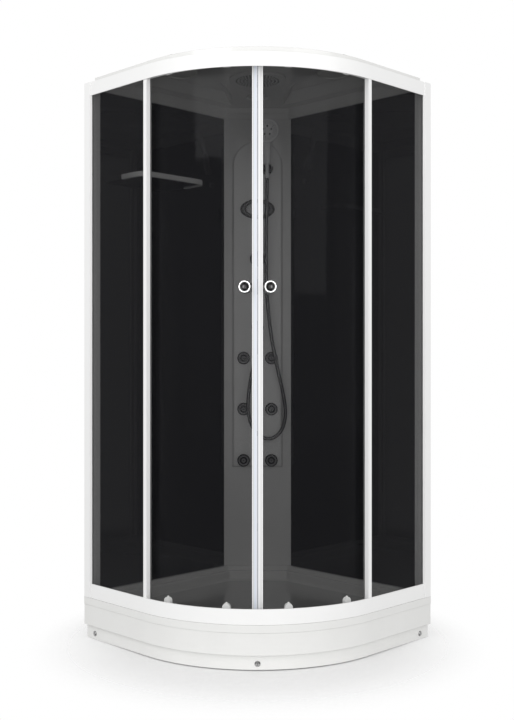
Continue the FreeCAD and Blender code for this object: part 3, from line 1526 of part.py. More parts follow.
def make_ceiling_fittings():
    ceiling = "roof_rim_top - roof_skin - fitting_gap"
    head = new_body("rain_head")
    wide = "rain_width / 2"
    deep = "rain_depth / 2"
    bend = "rain_corner"
    centre_y = "-rain_from_corner"
    corners = [
        (f"{wide}", f"{centre_y} - {deep} + {bend}"),
        (f"{wide}", f"{centre_y} + {deep} - {bend}", f"{wide} - {bend}", f"{centre_y} + {deep} - {bend}", 1),
        (f"{wide} - {bend}", f"{centre_y} + {deep}"),
        (f"{bend} - {wide}", f"{centre_y} + {deep}", f"{bend} - {wide}", f"{centre_y} + {deep} - {bend}", 1),
        (f"-{wide}", f"{centre_y} + {deep} - {bend}"),
        (f"-{wide}", f"{centre_y} - {deep} + {bend}", f"{bend} - {wide}", f"{centre_y} - {deep} + {bend}", 1),
        (f"{bend} - {wide}", f"{centre_y} - {deep}"),
        (f"{wide} - {bend}", f"{centre_y} - {deep}", f"{wide} - {bend}", f"{centre_y} - {deep} + {bend}", 1),
    ]
    pad(head, [corners], "rain_thickness", f"{ceiling} - rain_thickness")
    round_edges(head, "3", lambda edge: level(edge, f"{ceiling} - rain_thickness"))
    pad(head, [[("circle", "0", centre_y, "pipe_radius")]], f"roof_rim_top + 2 - ({ceiling})", ceiling)
    node(at_front(head))

    lamps = []
    for way in ("-1", "1"):
        top = "roof_rim_top - roof_skin + dome_rise - fitting_gap"
        lamp = turned(f"lamp{way.replace('-', '_left')}", [
            ("0", top),
            ("lamp_radius", top),
            ("lamp_radius", f"{top} - lamp_thickness * 0.45"),
            ("lamp_radius - 7", f"{top} - lamp_thickness"),
            ("lamp_radius - 12", f"{top} - lamp_thickness"),
            ("lamp_radius - 13", f"{top} - lamp_thickness + 3"),
            ("lamp_radius * 0.4", f"{top} - lamp_thickness + 0.5"),
            ("0", f"{top} - lamp_thickness"),
        ], "XZ_Plane")
        x = f"-side / 2 + ({way} * lamp_offset + lamp_from_corner) * cos(45)"
        y = f"side / 2 + ({way} * lamp_offset - lamp_from_corner) * cos(45)"
        lamps.append(place(lamp, x, y))
    node(group("ceiling_lamps", lamps))

    # exhaust fan: a flanged tube through the roof with a spoked grille, and a bladed rotor on a pin
    x = "-side / 2 + fan_from_corner * cos(45)"
    y = "side / 2 - fan_from_corner * cos(45)"
    tube = turned("fan_tube", [
        ("fan_radius - 2", f"{ceiling} - 4"),
        ("fan_flange", f"{ceiling} - 4"),
        ("fan_flange", ceiling),
        ("fan_radius + fan_collar", ceiling),
        ("fan_radius + fan_collar", f"{ceiling} + 7"),
        ("fan_radius", f"{ceiling} + 7"),
        ("fan_radius", f"{ceiling} + fan_height"),
        ("fan_radius - 2", f"{ceiling} + fan_height"),
    ], "XZ_Plane")
    pieces = [tube]
    for number in range(3):
        bar = block(f"fan_bar_{number + 1}", "2 * fan_radius - 2", "3", "3", "1 - fan_radius", "-1.5", f"{ceiling} - 4")
        spoke = doc.addObject("Part::Compound", f"fan_spoke_{number + 1}")
        spoke.Links = [bar]
        spoke.Placement = Placement(Vector(), Rotation(UP, 60 * number))
        pieces.append(spoke)
    pieces.append(cylinder("fan_pin", "2.5", "fan_height - 6", "0", "0", f"{ceiling} - 3"))
    pieces.append(cylinder("fan_boss", "9", "3", "0", "0", f"{ceiling} - 4"))
    node(place(joined("fan_housing", pieces), x, y))

    hub = cut("fan_hub", cylinder("fan_hub_blank", "9", "fan_height - 14", "0", "0", f"{ceiling} + 3"),
              cylinder("fan_hub_bore", "2.5 + running_gap", "fan_height", "0", "0", ceiling))
    blades = [hub]
    for number in range(5):
        blade = doc.addObject("Part::Box", f"fan_blade_{number + 1}")
        blade.setExpression("Length", bind("fan_radius - 12"))
        blade.Width = 1.6
        blade.setExpression("Height", bind("fan_height - 20"))
        pitch = Rotation(UP, 72 * number).multiply(Rotation(Vector(1, 0, 0), 35))
        lift = Vector(0, 0, size(ceiling) + 5)
        blade.Placement = Placement(Rotation(UP, 72 * number).multVec(Vector(8, 3, 0)) + lift, pitch)
        blades.append(blade)
    node(place(joined("fan_rotor", blades), x, y))


# ---------------------------------------------------------------- shelf

def make_shelf():
    """A glass shelf on the left wall inside a U-shaped rim."""
    wall = f"wall_panel_inset + glass_thickness + fitting_gap - {HALF}"
    out = f"wall_panel_inset + glass_thickness + shelf_reach - {HALF}"
    near = f"{HALF} - shelf_start"
    far = f"{HALF} - shelf_end"
    bend = "shelf_corner"
    rim = "shelf_rim_width"

    def outer(inset):
        reach = f"({bend} - {inset})"
        return [
            (wall, f"{far} + {inset}"),
            (f"{out} - {bend}", f"{far} + {inset}", f"{out} - {bend}", f"{far} + {bend}", 1),
            (f"{out} - {inset}", f"{far} + {bend}"),
            (f"{out} - {inset}", f"{near} - {bend}", f"{out} - {bend}", f"{near} - {bend}", 1),
            (f"{out} - {bend}", f"{near} - {inset}"),
            (wall, f"{near} - {inset}"),
        ]

    part = new_body("shelf_rim")
    pad(part, [outer("0")], "shelf_rim_height", "shelf_top - shelf_rim_height")
    inside = outer(rim)
    deeper = f"({wall} - 5)"
    inside[0] = (deeper, inside[0][1])
    inside[-1] = (deeper, inside[-1][1])
    pocket(part, [inside], "shelf_rim_height + 2", "shelf_top + 1")
    node(part)

    glass = new_body("shelf_glass")
    pad(glass, [outer(f"({rim} + fitting_gap)")], "shelf_glass_thickness", "shelf_top - shelf_rim_height + 4")
    node(glass)


# ---------------------------------------------------------------- hidden services

def pipe_run(points, radius):
    """A pipe through a few points, with a ball elbow at each corner."""
    solids = []
    for start, end in zip(points, points[1:]):
        solids.append(Part.makeCylinder(radius, (end - start).Length, start, end - start))
    for corner in points[1:-1]:
        solids.append(Part.makeSphere(radius + size("elbow_wall"), corner))
    return solids


def make_services():
    """Brass valve block, jet pipes, riser to the rain head and steam generator, behind the column."""
    back = size("column_front - column_skin - fitting_gap")
    half = size("valve_block_half_width")
    deep = size("valve_block_depth")
    over = size("valve_block_overhang")
    low = size("mixer_height") - over
    high = size("diverter_height") + over
    pipe = size("pipe_radius")
    body = Part.makeBox(2 * half, deep, high - low, Vector(-half, -back, low))
    solids = []
    middle = back - deep / 2
    inlet = size("inlet_offset")
    for way in (-1, 1):
        bend = Vector(way * inlet, -middle, low + size("inlet_rise"))
        arm = Part.makeCylinder(pipe, inlet, bend, Vector(-way, 0, 0))
        elbow = Part.makeSphere(size("inlet_elbow_radius"), bend)
        neck = Part.makeCylinder(pipe, size("inlet_neck"), bend, INTO_CORNER)
        tail = Part.makeCylinder(size("inlet_radius"), size("inlet_length"),
                                 bend + INTO_CORNER * size("inlet_neck"), INTO_CORNER)
        solids += [arm, elbow, neck, tail]
        jets = size("jet_offset")
        line_out = back - 18
        top_jet = size("jet_top")
        solids += pipe_run([
            Vector(way * 15.5, -middle, low + 2),
            Vector(way * 15.5, -middle, low - 60),
            Vector(way * jets, -line_out, top_jet + 60),
            Vector(way * jets, -line_out, size("jet_bottom") - 12),
        ], pipe * 0.75)
        for height in ("jet_top", "jet_middle", "jet_bottom"):
            spot = Vector(way * jets, -line_out, size(height))
            reach = size("column_front + relief_depth + fitting_gap - jet_body_depth") - line_out - size("fitting_gap")
            solids.append(Part.makeCylinder(5.5, reach, spot, Vector(0, -1, 0)))
    feed = pipe_run([
        Vector(0, -middle, low + 2),
        Vector(0, -middle, size("outlet_height")),
        Vector(0, -size("column_front + relief_depth - 12"), size("outlet_height")),
    ], pipe * 0.75)
    up = size("riser_offset")
    riser = size("riser_from_corner")
    over_roof = size("roof_pipe_height")
    rain = size("rain_from_corner")
    riser_pipe = pipe_run([
        Vector(0, -middle, high - 12),
        Vector(up, -riser, high - 12),
        Vector(up, -riser, over_roof),
        Vector(up, -rain, over_roof),
        Vector(0, -rain, over_roof),
        Vector(0, -rain, size("roof_rim_top + 2.3")),
    ], pipe)
    whole = body.fuse(solids + feed + riser_pipe)
    for height in ("diverter_height", "mixer_height"):
        well = Part.makeCylinder(size("spindle_radius + 0.3"), 8, Vector(0, -back - 1, size(height)), Vector(0, 1, 0))
        whole = whole.cut(well)
    node(shaped("water_manifold", whole.removeSplitter(), FRONT))

    wide = size("steam_box_width")
    box_deep = size("steam_box_depth")
    tall = size("steam_box_height")
    bottom = size("steam_box_bottom")
    tank = Part.makeBox(wide, box_deep, tall, Vector(-wide / 2, -back, bottom))
    tank = tank.makeFillet(6, [edge for edge in tank.Edges if edge.BoundBox.ZLength > tall - 1])
    outlet = size("steam_outlet_height")
    face = size("column_front + fitting_gap")
    rim = size("steam_outlet_radius")
    neck = Part.makeCylinder(rim - 5, face - back + 2, Vector(0, -back + 1, outlet), Vector(0, -1, 0))
    cap = Part.makeCone(rim, rim - 3, 9, Vector(0, -face, outlet), Vector(0, -1, 0))
    slot = Part.makeBox(2 * rim - 14, 6, 4, Vector(7 - rim, -face - 10, outlet - 5))
    node(shaped("steam_generator", tank.fuse([neck, cap]).cut(slot).removeSplitter(), FRONT))


# ---------------------------------------------------------------- build and export

make_tray()
screw_drills = make_apron_and_screws()
make_tray_frame(screw_drills)
make_feet()
make_trap()
make_rails()
make_posts()
make_stiles()
make_fixed_glass()
make_wall_panels()
make_door()
make_column()
make_jets()
make_valves()
make_handset()
make_hose()
make_control_panel()
make_roof()
make_ceiling_fittings()
make_shelf()
make_services()
doc.recompute()

for thing in doc.Objects:
    if "Invalid" in thing.State or "Error" in thing.State:
        raise RuntimeError(f"{thing.Label} did not build: {thing.State}")
for thing in NODES:
    shape = thing.Shape
    if shape.isNull() or not shape.isValid() or not shape.Solids:
        raise RuntimeError(f"{thing.Label} has no valid shape")

os.makedirs("parts", exist_ok=True)
for thing in NODES:
    thing.Shape.exportStep(os.path.join("parts", thing.Label + ".step"))
print(len(NODES), "nodes written")
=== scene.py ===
"""Looks of the quadrant steam shower cabin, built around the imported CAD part.

Metres, +Z up. The room walls lie along -X and +Y, and the round front faces (+X, -Y).
Front frame: s to the right, t out of the back corner towards the doors, z up, in millimetres.
"""
import json
import math

import bmesh
import bpy
from mathutils import Matrix, Vector


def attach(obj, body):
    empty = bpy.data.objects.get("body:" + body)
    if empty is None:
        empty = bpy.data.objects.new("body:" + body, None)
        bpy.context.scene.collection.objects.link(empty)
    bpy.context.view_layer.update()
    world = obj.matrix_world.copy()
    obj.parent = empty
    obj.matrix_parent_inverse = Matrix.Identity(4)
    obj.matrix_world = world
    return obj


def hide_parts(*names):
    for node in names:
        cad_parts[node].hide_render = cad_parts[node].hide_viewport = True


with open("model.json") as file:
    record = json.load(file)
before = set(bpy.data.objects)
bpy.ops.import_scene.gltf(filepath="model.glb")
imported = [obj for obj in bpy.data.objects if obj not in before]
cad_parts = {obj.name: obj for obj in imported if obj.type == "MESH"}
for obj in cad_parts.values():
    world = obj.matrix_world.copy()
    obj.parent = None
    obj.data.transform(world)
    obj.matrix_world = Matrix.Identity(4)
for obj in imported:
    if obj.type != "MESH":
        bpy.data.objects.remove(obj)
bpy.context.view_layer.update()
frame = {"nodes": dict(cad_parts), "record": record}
scene = bpy.context.scene
scene.view_settings.view_transform = "Standard"
NODES = frame["nodes"]

ROOT_HALF = math.sqrt(0.5)
CORNER = Vector((-0.45, 0.45, 0.0))  # the room's corner, behind the column
ARC = Vector((-0.1, 0.1, 0.0))  # the centre of the curved front
RIGHT = Vector((ROOT_HALF, ROOT_HALF, 0.0))
OUT = Vector((ROOT_HALF, -ROOT_HALF, 0.0))
UP = Vector((0, 0, 1))


def front(s, t, z):
    """A point from the front frame, given in millimetres."""
    return CORNER + RIGHT * (s / 1000) + OUT * (t / 1000) + UP * (z / 1000)


def link(name, data):
    """A new object in the scene."""
    made = bpy.data.objects.new(name, data)
    scene.collection.objects.link(made)
    return made


# ---------------------------------------------------------------- camera

CAMERA_AWAY = 4.4
CAMERA_HEIGHT = 1.031
CAMERA_SEES_TO = 60
FOCAL_PIXELS = 1024.7
SENSOR_WIDTH = 36
PHOTO_WIDTH = 514
PHOTO_HEIGHT = 720
PHOTO_CENTRE = (257.5, 357.4)


def make_camera():
    """The photo's camera: level, on the cabin's diagonal, with its optical axis shifted."""
    data = bpy.data.cameras.new("camera")
    data.sensor_fit = "HORIZONTAL"
    data.sensor_width = SENSOR_WIDTH
    data.lens = FOCAL_PIXELS / PHOTO_WIDTH * SENSOR_WIDTH
    data.shift_x = -(PHOTO_CENTRE[0] - PHOTO_WIDTH / 2) / PHOTO_WIDTH
    data.shift_y = (PHOTO_CENTRE[1] - PHOTO_HEIGHT / 2) / PHOTO_WIDTH
    data.clip_end = CAMERA_SEES_TO
    camera = link("camera", data)
    place = Matrix.Translation(CORNER + OUT * CAMERA_AWAY + UP * CAMERA_HEIGHT)
    camera.matrix_world = place @ Matrix((RIGHT, UP, OUT)).transposed().to_4x4()
    scene.camera = camera


make_camera()


# ---------------------------------------------------------------- material helpers

COAT_ROUGHNESS = 0.04
GRAIN_HEIGHT = 0.0004
EDGE_SAMPLES = 4


def new_material(name):
    material = bpy.data.materials.new(name)
    material.use_nodes = True
    tree = material.node_tree
    return material, tree, tree.nodes["Principled BSDF"]


def add(tree, kind, **inputs):
    """A node with its sockets set by name."""
    made = tree.nodes.new(kind)
    for key, value in inputs.items():
        made.inputs[key].default_value = value
    return made


def position(tree):
    """The shaded spot's place in the cabin's own frame."""
    return tree.nodes.new("ShaderNodeTexCoord").outputs["Object"]


def object_noise(tree, scale, detail=3.0, roughness=0.5, stretch=None):
    """Noise in the cabin's own frame; stretch scales the frame along its axes."""
    place = position(tree)
    noise = add(tree, "ShaderNodeTexNoise", Scale=scale, Detail=detail, Roughness=roughness)
    if stretch is not None:
        mapping = add(tree, "ShaderNodeMapping", Scale=stretch)
        tree.links.new(place, mapping.inputs["Vector"])
        place = mapping.outputs["Vector"]
    tree.links.new(place, noise.inputs["Vector"])
    return noise.outputs["Fac"]


def grey(value):
    return (value, value, value, 1)


def ramp(tree, source, stops):
    """A colour ramp over a source; stops are (place, colour)."""
    made = tree.nodes.new("ShaderNodeValToRGB")
    elements = made.color_ramp.elements
    while len(elements) < len(stops):
        elements.new(0.5)
    for element, (place, colour) in zip(elements, stops):
        element.position = place
        element.color = colour if len(colour) == 4 else (*colour, 1)
    tree.links.new(source, made.inputs["Fac"])
    return made.outputs["Color"]


def maths(tree, operation, *values):
    """A maths node over sockets or plain numbers."""
    made = tree.nodes.new("ShaderNodeMath")
    made.operation = operation
    for socket, value in zip(made.inputs, values):
        if isinstance(value, (int, float)):
            socket.default_value = value
        else:
            tree.links.new(value, socket)
    return made.outputs[0]


def vectors(tree, operation, first, second=None):
    """A vector maths node over sockets or plain vectors."""
    made = tree.nodes.new("ShaderNodeVectorMath")
    made.operation = operation
    for socket, value in zip(made.inputs, (first, second)):
        if isinstance(value, Vector):
            socket.default_value = value
        elif value is not None:
            tree.links.new(value, socket)
    return made.outputs["Value" if operation in ("DOT_PRODUCT", "LENGTH") else "Vector"]


def from_point(tree, point):
    """The vector from a point to the shaded spot."""
    return vectors(tree, "SUBTRACT", position(tree), point)


def share(tree, value, low, high):
    """0 to 1 as a value goes from low to high."""
    made = add(tree, "ShaderNodeMapRange", **{"From Min": low, "From Max": high})
    tree.links.new(value, made.inputs["Value"])
    return made.outputs["Result"]


def hypotenuse(tree, across, up):
    squares = [maths(tree, "MULTIPLY", value, value) for value in (across, up)]
    return maths(tree, "SQRT", maths(tree, "ADD", *squares))


def surface(name, colour, roughness, vary=0.03, rough_vary=0.04, scale=9.0, bump=0.0,
            bump_scale=600.0, metallic=0.0, coat=0.0, stretch=None, specular=0.5, edge=0.0):
    """A finish with a slightly uneven colour and gloss, a fine bump and softly rounded edges."""
    material, tree, shader = new_material(name)
    shader.inputs["Metallic"].default_value = metallic
    shader.inputs["Coat Weight"].default_value = coat
    shader.inputs["Coat Roughness"].default_value = COAT_ROUGHNESS
    shader.inputs["Specular IOR Level"].default_value = specular
    noise = object_noise(tree, scale, 4.0, 0.55, stretch)
    low = tuple(max(channel * (1 - vary), 0) for channel in colour)
    high = tuple(min(channel * (1 + vary * 0.4), 1) for channel in colour)
    tree.links.new(ramp(tree, noise, [(0.3, low), (0.7, high)]), shader.inputs["Base Color"])
    gloss = [(0.25, grey(roughness)), (0.8, grey(roughness + rough_vary))]
    tree.links.new(ramp(tree, noise, gloss), shader.inputs["Roughness"])
    rounded = None
    if edge:
        rounded = add(tree, "ShaderNodeBevel", Radius=edge)
        rounded.samples = EDGE_SAMPLES
        tree.links.new(rounded.outputs["Normal"], shader.inputs["Normal"])
    if bump:
        lift = add(tree, "ShaderNodeBump", Strength=bump, Distance=GRAIN_HEIGHT)
        tree.links.new(object_noise(tree, bump_scale, 2.0), lift.inputs["Height"])
        if rounded:
            tree.links.new(rounded.outputs["Normal"], lift.inputs["Normal"])
        tree.links.new(lift.outputs["Normal"], shader.inputs["Normal"])
    return material


def glass_material(name, colour, alpha, specular, roughness=0.03):
    """Tinted pane: each face passes part of the light straight through."""
    material, tree, shader = new_material(name)
    shader.inputs["Alpha"].default_value = alpha
    shader.inputs["Specular IOR Level"].default_value = specular
    tint = [(0.3, tuple(channel * 0.9 for channel in colour)), (0.7, colour)]
    tree.links.new(ramp(tree, object_noise(tree, 3.0, 2.0), tint), shader.inputs["Base Color"])
    film = [(0.35, grey(roughness)), (0.85, grey(roughness + 0.03))]
    tree.links.new(ramp(tree, object_noise(tree, 14.0, 5.0, 0.6), film), shader.inputs["Roughness"])
    return material


def recolour(material, source, stops):
    """Colour a finish along a source, multiplied by the finish's own slight unevenness."""
    tree = material.node_tree
    base = tree.nodes["Principled BSDF"].inputs["Base Color"]
    own = base.links[0].from_socket
    mix = tree.nodes.new("ShaderNodeMix")
    mix.data_type = "RGBA"
    mix.blend_type = "MULTIPLY"
    mix.inputs["Factor"].default_value = 1.0
    tree.links.new(ramp(tree, source, stops), mix.inputs["A"])
    tree.links.new(own, mix.inputs["B"])
    tree.links.new(mix.outputs["Result"], base)


def paint_reflection_by_facing(material, stops):
    """Painted reflection: colour by how much the surface faces the viewer, standing in for the dark
    cabin and the bright lights that round polished metal mirrors.
    """
    weight = add(material.node_tree, "ShaderNodeLayerWeight", Blend=0.5)
    recolour(material, weight.outputs["Facing"], stops)


# ---------------------------------------------------------------- finishes

ACRYLIC = surface("acrylic_white", (0.86, 0.86, 0.845), 0.14, vary=0.02, coat=0.3, bump=0.02,
                  bump_scale=160, edge=0.0018)
FRAME_WHITE = surface("powder_white", (0.955, 0.955, 0.95), 0.22, vary=0.012, bump=0.02,
                      bump_scale=1400, edge=0.0012)
COLUMN_WHITE = surface("column_white", (0.84, 0.84, 0.83), 0.22, vary=0.02, coat=0.15, bump=0.02,
                       bump_scale=160)
TINTED = glass_material("tinted_glass", (0.012, 0.012, 0.014), 0.40, 0.12)
BLACK_GLASS = surface("black_glass", (0.0035, 0.0035, 0.004), 0.02, vary=0.3, rough_vary=0.02,
                      specular=0.45)
SEAL = surface("seal_clear", (0.97, 0.97, 0.97), 0.30, vary=0.06, scale=30, stretch=(1, 1, 0.05))
CHROME = surface("chrome", (0.78, 0.79, 0.81), 0.06, vary=0.04, rough_vary=0.06, metallic=1.0,
                 scale=40)
STEEL = surface("galvanised_steel", (0.46, 0.47, 0.48), 0.42, vary=0.25, rough_vary=0.2,
                metallic=1.0, scale=35, bump=0.1, bump_scale=90)
BRASS = surface("cast_brass", (0.62, 0.44, 0.18), 0.38, vary=0.2, rough_vary=0.2, metallic=1.0,
                scale=30, bump=0.25, bump_scale=700)
WHITE_PLASTIC = surface("white_plastic", (0.82, 0.82, 0.81), 0.32, vary=0.02, bump=0.06,
                        bump_scale=900)
BLACK_PLASTIC = surface("black_plastic", (0.014, 0.014, 0.015), 0.22, vary=0.2, bump=0.06,
                        bump_scale=900)
GREY_PLASTIC = surface("grey_plastic", (0.20, 0.205, 0.21), 0.45, vary=0.08, bump=0.1,
                       bump_scale=600)
LAMP = surface("opal_lamp", (0.86, 0.86, 0.83), 0.35, vary=0.02)

# Chrome painted dark: a painted reflection of the dark cabin on the column trim, its knobs and the
# handset holder.
CHROME_PAINTED_DARK = surface("chrome_painted_reflections", (0.30, 0.30, 0.31), 0.10, vary=0.15, rough_vary=0.06,
                      metallic=1.0, scale=40)
HOSE_CHROME = surface("hose_chrome", (0.95, 0.95, 0.95), 0.24, vary=0.1, metallic=0.9, scale=60)
JET_CHROME = surface("jet_chrome", (0.95, 0.95, 0.95), 0.22, vary=0.1, metallic=0.1, scale=60,
                     specular=0.12)
PANEL_CHROME = surface("panel_chrome", (0.95, 0.95, 0.95), 0.18, vary=0.08, metallic=0.1,
                       scale=60, specular=0.15)
KNOB_CHROME = surface("knob_chrome", (0.97, 0.97, 0.97), 0.08, vary=0.03, metallic=0.85, scale=60)
SCREW_STEEL = surface("screw_steel", (0.9, 0.9, 0.9), 0.20, vary=0.1, metallic=0.9, scale=200)
HANDSET_WHITE = surface("handset_white", (0.93, 0.93, 0.93), 0.20, vary=0.02, coat=0.2)
RUBBER = surface("nozzle_rubber", (0.02, 0.02, 0.02), 0.55, vary=0.2, scale=80)

SEAL_HALF = 0.0195

JET_SIDE = 0.057  # from the column's middle to a row of jets
JET_LOW = 0.6075  # the lowest jets' height
JET_PITCH = 0.2105
JET_RADIUS = 0.026

KNOB_ANGLE = 40.34  # degrees about the arc's centre, from -Y
KNOB_HEIGHT = 1.2645
KNOB_RADIUS = 0.0205

PANEL_MIDDLE = 1640.5  # height, in the front frame
PANEL_HALF_WIDTH = 0.0705
PANEL_HALF_HEIGHT = 0.0405


def stripe_seals():
    """The meeting seals: white outer ribs and a bluish clear middle with a dark joint."""
    tree = SEAL.node_tree
    side = vectors(tree, "DOT_PRODUCT", from_point(tree, ARC), RIGHT)
    recolour(SEAL, share(tree, side, -SEAL_HALF, SEAL_HALF), [
        (0.0, grey(0.98)), (0.09, grey(0.97)), (0.13, grey(0.66)), (0.20, (0.80, 0.82, 0.84)),
        (0.31, (0.70, 0.75, 0.86)), (0.42, (0.90, 0.91, 0.94)), (0.49, (0.50, 0.53, 0.58)),
        (0.53, (0.52, 0.55, 0.60)), (0.60, grey(0.95)), (0.76, grey(0.84)), (0.83, grey(0.70)),
        (0.88, grey(0.97)),
    ])


def ring_jets():
    """Painted reflections about each body jet: rings of dark and pale on its chrome, standing in
    for the dark cabin and the lights it mirrors.
    """
    tree = JET_CHROME.node_tree
    offset = from_point(tree, CORNER)
    side = maths(tree, "ABSOLUTE", vectors(tree, "DOT_PRODUCT", offset, RIGHT))
    side = maths(tree, "SUBTRACT", side, JET_SIDE)
    height = vectors(tree, "DOT_PRODUCT", offset, UP)
    height = maths(tree, "ADD", height, JET_PITCH / 2 - JET_LOW)
    height = maths(tree, "MODULO", height, JET_PITCH)
    height = maths(tree, "SUBTRACT", height, JET_PITCH / 2)
    recolour(JET_CHROME, share(tree, hypotenuse(tree, side, height), 0, JET_RADIUS), [
        (0.0, grey(0.10)), (0.10, grey(0.22)), (0.22, grey(0.34)), (0.30, grey(0.30)),
        (0.38, grey(0.01)), (0.52, grey(0.01)), (0.62, grey(0.42)), (0.76, grey(0.36)),
        (0.86, grey(0.02)), (1.0, grey(0.01)),
    ])


def ring_knobs():
    """A black dished middle inside a bright chrome ring on each door knob: the black middle is a
    painted dark reflection in the dished chrome, with a small painted highlight in it.
    """
    tree = KNOB_CHROME.node_tree
    radii = []
    for angle in (KNOB_ANGLE, 90 - KNOB_ANGLE):
        turn = math.radians(angle)
        axis = Vector((math.sin(turn), -math.cos(turn), 0))
        offset = from_point(tree, ARC + UP * KNOB_HEIGHT)
        radii.append(vectors(tree, "LENGTH", vectors(tree, "CROSS_PRODUCT", offset, axis)))
    recolour(KNOB_CHROME, share(tree, maths(tree, "MINIMUM", *radii), 0, KNOB_RADIUS), [
        (0.0, grey(0.05)), (0.25, grey(0.12)), (0.4, grey(0.01)), (0.62, grey(0.01)),
        (0.68, grey(0.9)), (0.92, grey(1.0)), (1.0, grey(0.6)),
    ])


def ring_panel():
    """The control panel's oval: its own grey face inside a polished ring painted dark, a painted
    reflection of the dark cabin, with a paler painted highlight band.
    """
    tree = PANEL_CHROME.node_tree
    offset = from_point(tree, front(0, 0, PANEL_MIDDLE))
    side = maths(tree, "DIVIDE", vectors(tree, "DOT_PRODUCT", offset, RIGHT), PANEL_HALF_WIDTH)
    height = maths(tree, "DIVIDE", vectors(tree, "DOT_PRODUCT", offset, UP), PANEL_HALF_HEIGHT)
    recolour(PANEL_CHROME, hypotenuse(tree, side, height), [
        (0.0, grey(0.62)), (0.62, grey(0.60)), (0.68, grey(0.03)), (0.73, grey(0.02)),
        (0.78, grey(0.30)), (0.86, grey(0.10)), (0.92, grey(0.01)), (1.0, grey(0.01)),
    ])


ring_panel()
stripe_seals()
ring_jets()
ring_knobs()
# Painted reflection on the hose: dark towards its sides, with a paler painted highlight down its
# middle.
paint_reflection_by_facing(HOSE_CHROME, [
    (0.0, grey(0.20)), (0.18, grey(0.14)), (0.34, grey(0.012)), (1.0, grey(0.008)),
])
# Painted reflection bands on the darkened chrome, with a bright painted highlight band near the
# middle.
paint_reflection_by_facing(CHROME_PAINTED_DARK, [
    (0.0, grey(0.10)), (0.15, grey(0.55)), (0.3, grey(0.06)), (0.6, grey(0.25)), (1.0, grey(0.02)),
])
# Painted reflection rings on the screw heads: dark middles between bright painted highlight rings.
paint_reflection_by_facing(SCREW_STEEL, [
    (0.0, grey(0.08)), (0.05, grey(0.65)), (0.12, grey(0.12)), (0.5, grey(0.75)),
    (0.8, grey(0.15)),
])


# ---------------------------------------------------------------- finishes on the CAD nodes

SHARP_FROM = math.radians(28)
FINISH_OF_SLOT = {
    "acrylic": ACRYLIC,
    "frame": FRAME_WHITE,
    "tinted_glass": TINTED,
    "black_glass": BLACK_GLASS,
    "seal": SEAL,
    "chrome": CHROME,
    "steel": STEEL,
    "brass": BRASS,
    "white_plastic": WHITE_PLASTIC,
    "black_plastic": BLACK_PLASTIC,
    "grey_plastic": GREY_PLASTIC,
    "lamp": LAMP,
}
FINISH_OF_NODE = {
    "corner_column": COLUMN_WHITE,
    "rain_head": COLUMN_WHITE,
    "jet_rings": JET_CHROME,
    "panel_bezel": PANEL_CHROME,
    "control_panel": PANEL_CHROME,
    "column_trim": CHROME_PAINTED_DARK,
    "mixer_knob": CHROME_PAINTED_DARK,
    "diverter_knob": CHROME_PAINTED_DARK,
    "handset_holder": CHROME_PAINTED_DARK,
    "left_door_knob": KNOB_CHROME,
    "right_door_knob": KNOB_CHROME,
    "apron_screws": SCREW_STEEL,
    **{f"jet_nozzle_{number}": JET_CHROME for number in range(1, 7)},
}


def dress(node, material):
    """Give a CAD node its finish, with smooth curved faces and crisp edges."""
    mesh = NODES[node].data
    mesh.materials.clear()
    mesh.materials.append(material)
    mesh.shade_smooth()
    mesh.set_sharp_from_angle(angle=SHARP_FROM)


for entry in frame["record"]["subparts"]:
    dress(entry["node"], FINISH_OF_NODE.get(entry["node"], FINISH_OF_SLOT[entry["material_slot"]]))


# ---------------------------------------------------------------- floor, light and background

FLOOR_DROP = 0.0005
FLOOR_FADE_START = 0.36
FLOOR_FADE_END = 0.85
FLOOR_TONES = [(0.3, grey(0.92)), (0.7, grey(0.94))]
WORLD_LIGHT = 0.62
LIGHTS = [  # name, place, target, width, height, watts
    ("key", front(-2200, 3600, 3400), front(0, 500, 1000), 2.2, 2.2, 32),
    ("fill", front(2600, 3400, 2600), front(0, 500, 1000), 2.0, 2.4, 16),
    ("front", front(0, 5200, 1500), front(0, 300, 1500), 3.0, 2.4, 54),
]


def make_stage():
    """A pale floor that fades into the white background away from the cabin."""
    floor_mesh = bpy.data.meshes.new("floor")
    reach = FLOOR_FADE_END
    corners = [(-reach, -reach, 0), (reach, -reach, 0), (reach, reach, 0), (-reach, reach, 0)]
    floor_mesh.from_pydata(corners, [], [(0, 1, 2, 3)])
    floor = link("floor", floor_mesh)
    floor.location.z = -FLOOR_DROP
    material, tree, shader = new_material("floor_pale")
    tone = ramp(tree, object_noise(tree, 2.0), FLOOR_TONES)
    tree.links.new(tone, shader.inputs["Base Color"])
    shader.inputs["Roughness"].default_value = 0.6
    shader.inputs["Specular IOR Level"].default_value = 0.1
    fade = add(tree, "ShaderNodeMapRange", **{
        "From Min": FLOOR_FADE_START, "From Max": FLOOR_FADE_END, "To Min": 1.0, "To Max": 0.0,
    })
    fade.interpolation_type = "SMOOTHSTEP"
    tree.links.new(vectors(tree, "LENGTH", position(tree)), fade.inputs["Value"])
    tree.links.new(fade.outputs["Result"], shader.inputs["Alpha"])
    floor_mesh.materials.append(material)


def make_world():
    """Soft light from all round, with a white background behind the cabin."""
    world = bpy.data.worlds.new("studio")
    scene.world = world
    world.use_nodes = True
    tree = world.node_tree
    back = tree.nodes["Background"]
    back.inputs["Color"].default_value = grey(1)
    back.inputs["Strength"].default_value = WORLD_LIGHT
    white = add(tree, "ShaderNodeBackground", Color=grey(1), Strength=1.0)
    seen = tree.nodes.new("ShaderNodeLightPath")
    mix = tree.nodes.new("ShaderNodeMixShader")
    tree.links.new(seen.outputs["Is Camera Ray"], mix.inputs["Fac"])
    tree.links.new(back.outputs["Background"], mix.inputs[1])
    tree.links.new(white.outputs["Background"], mix.inputs[2])
    tree.links.new(mix.outputs["Shader"], tree.nodes["World Output"].inputs["Surface"])


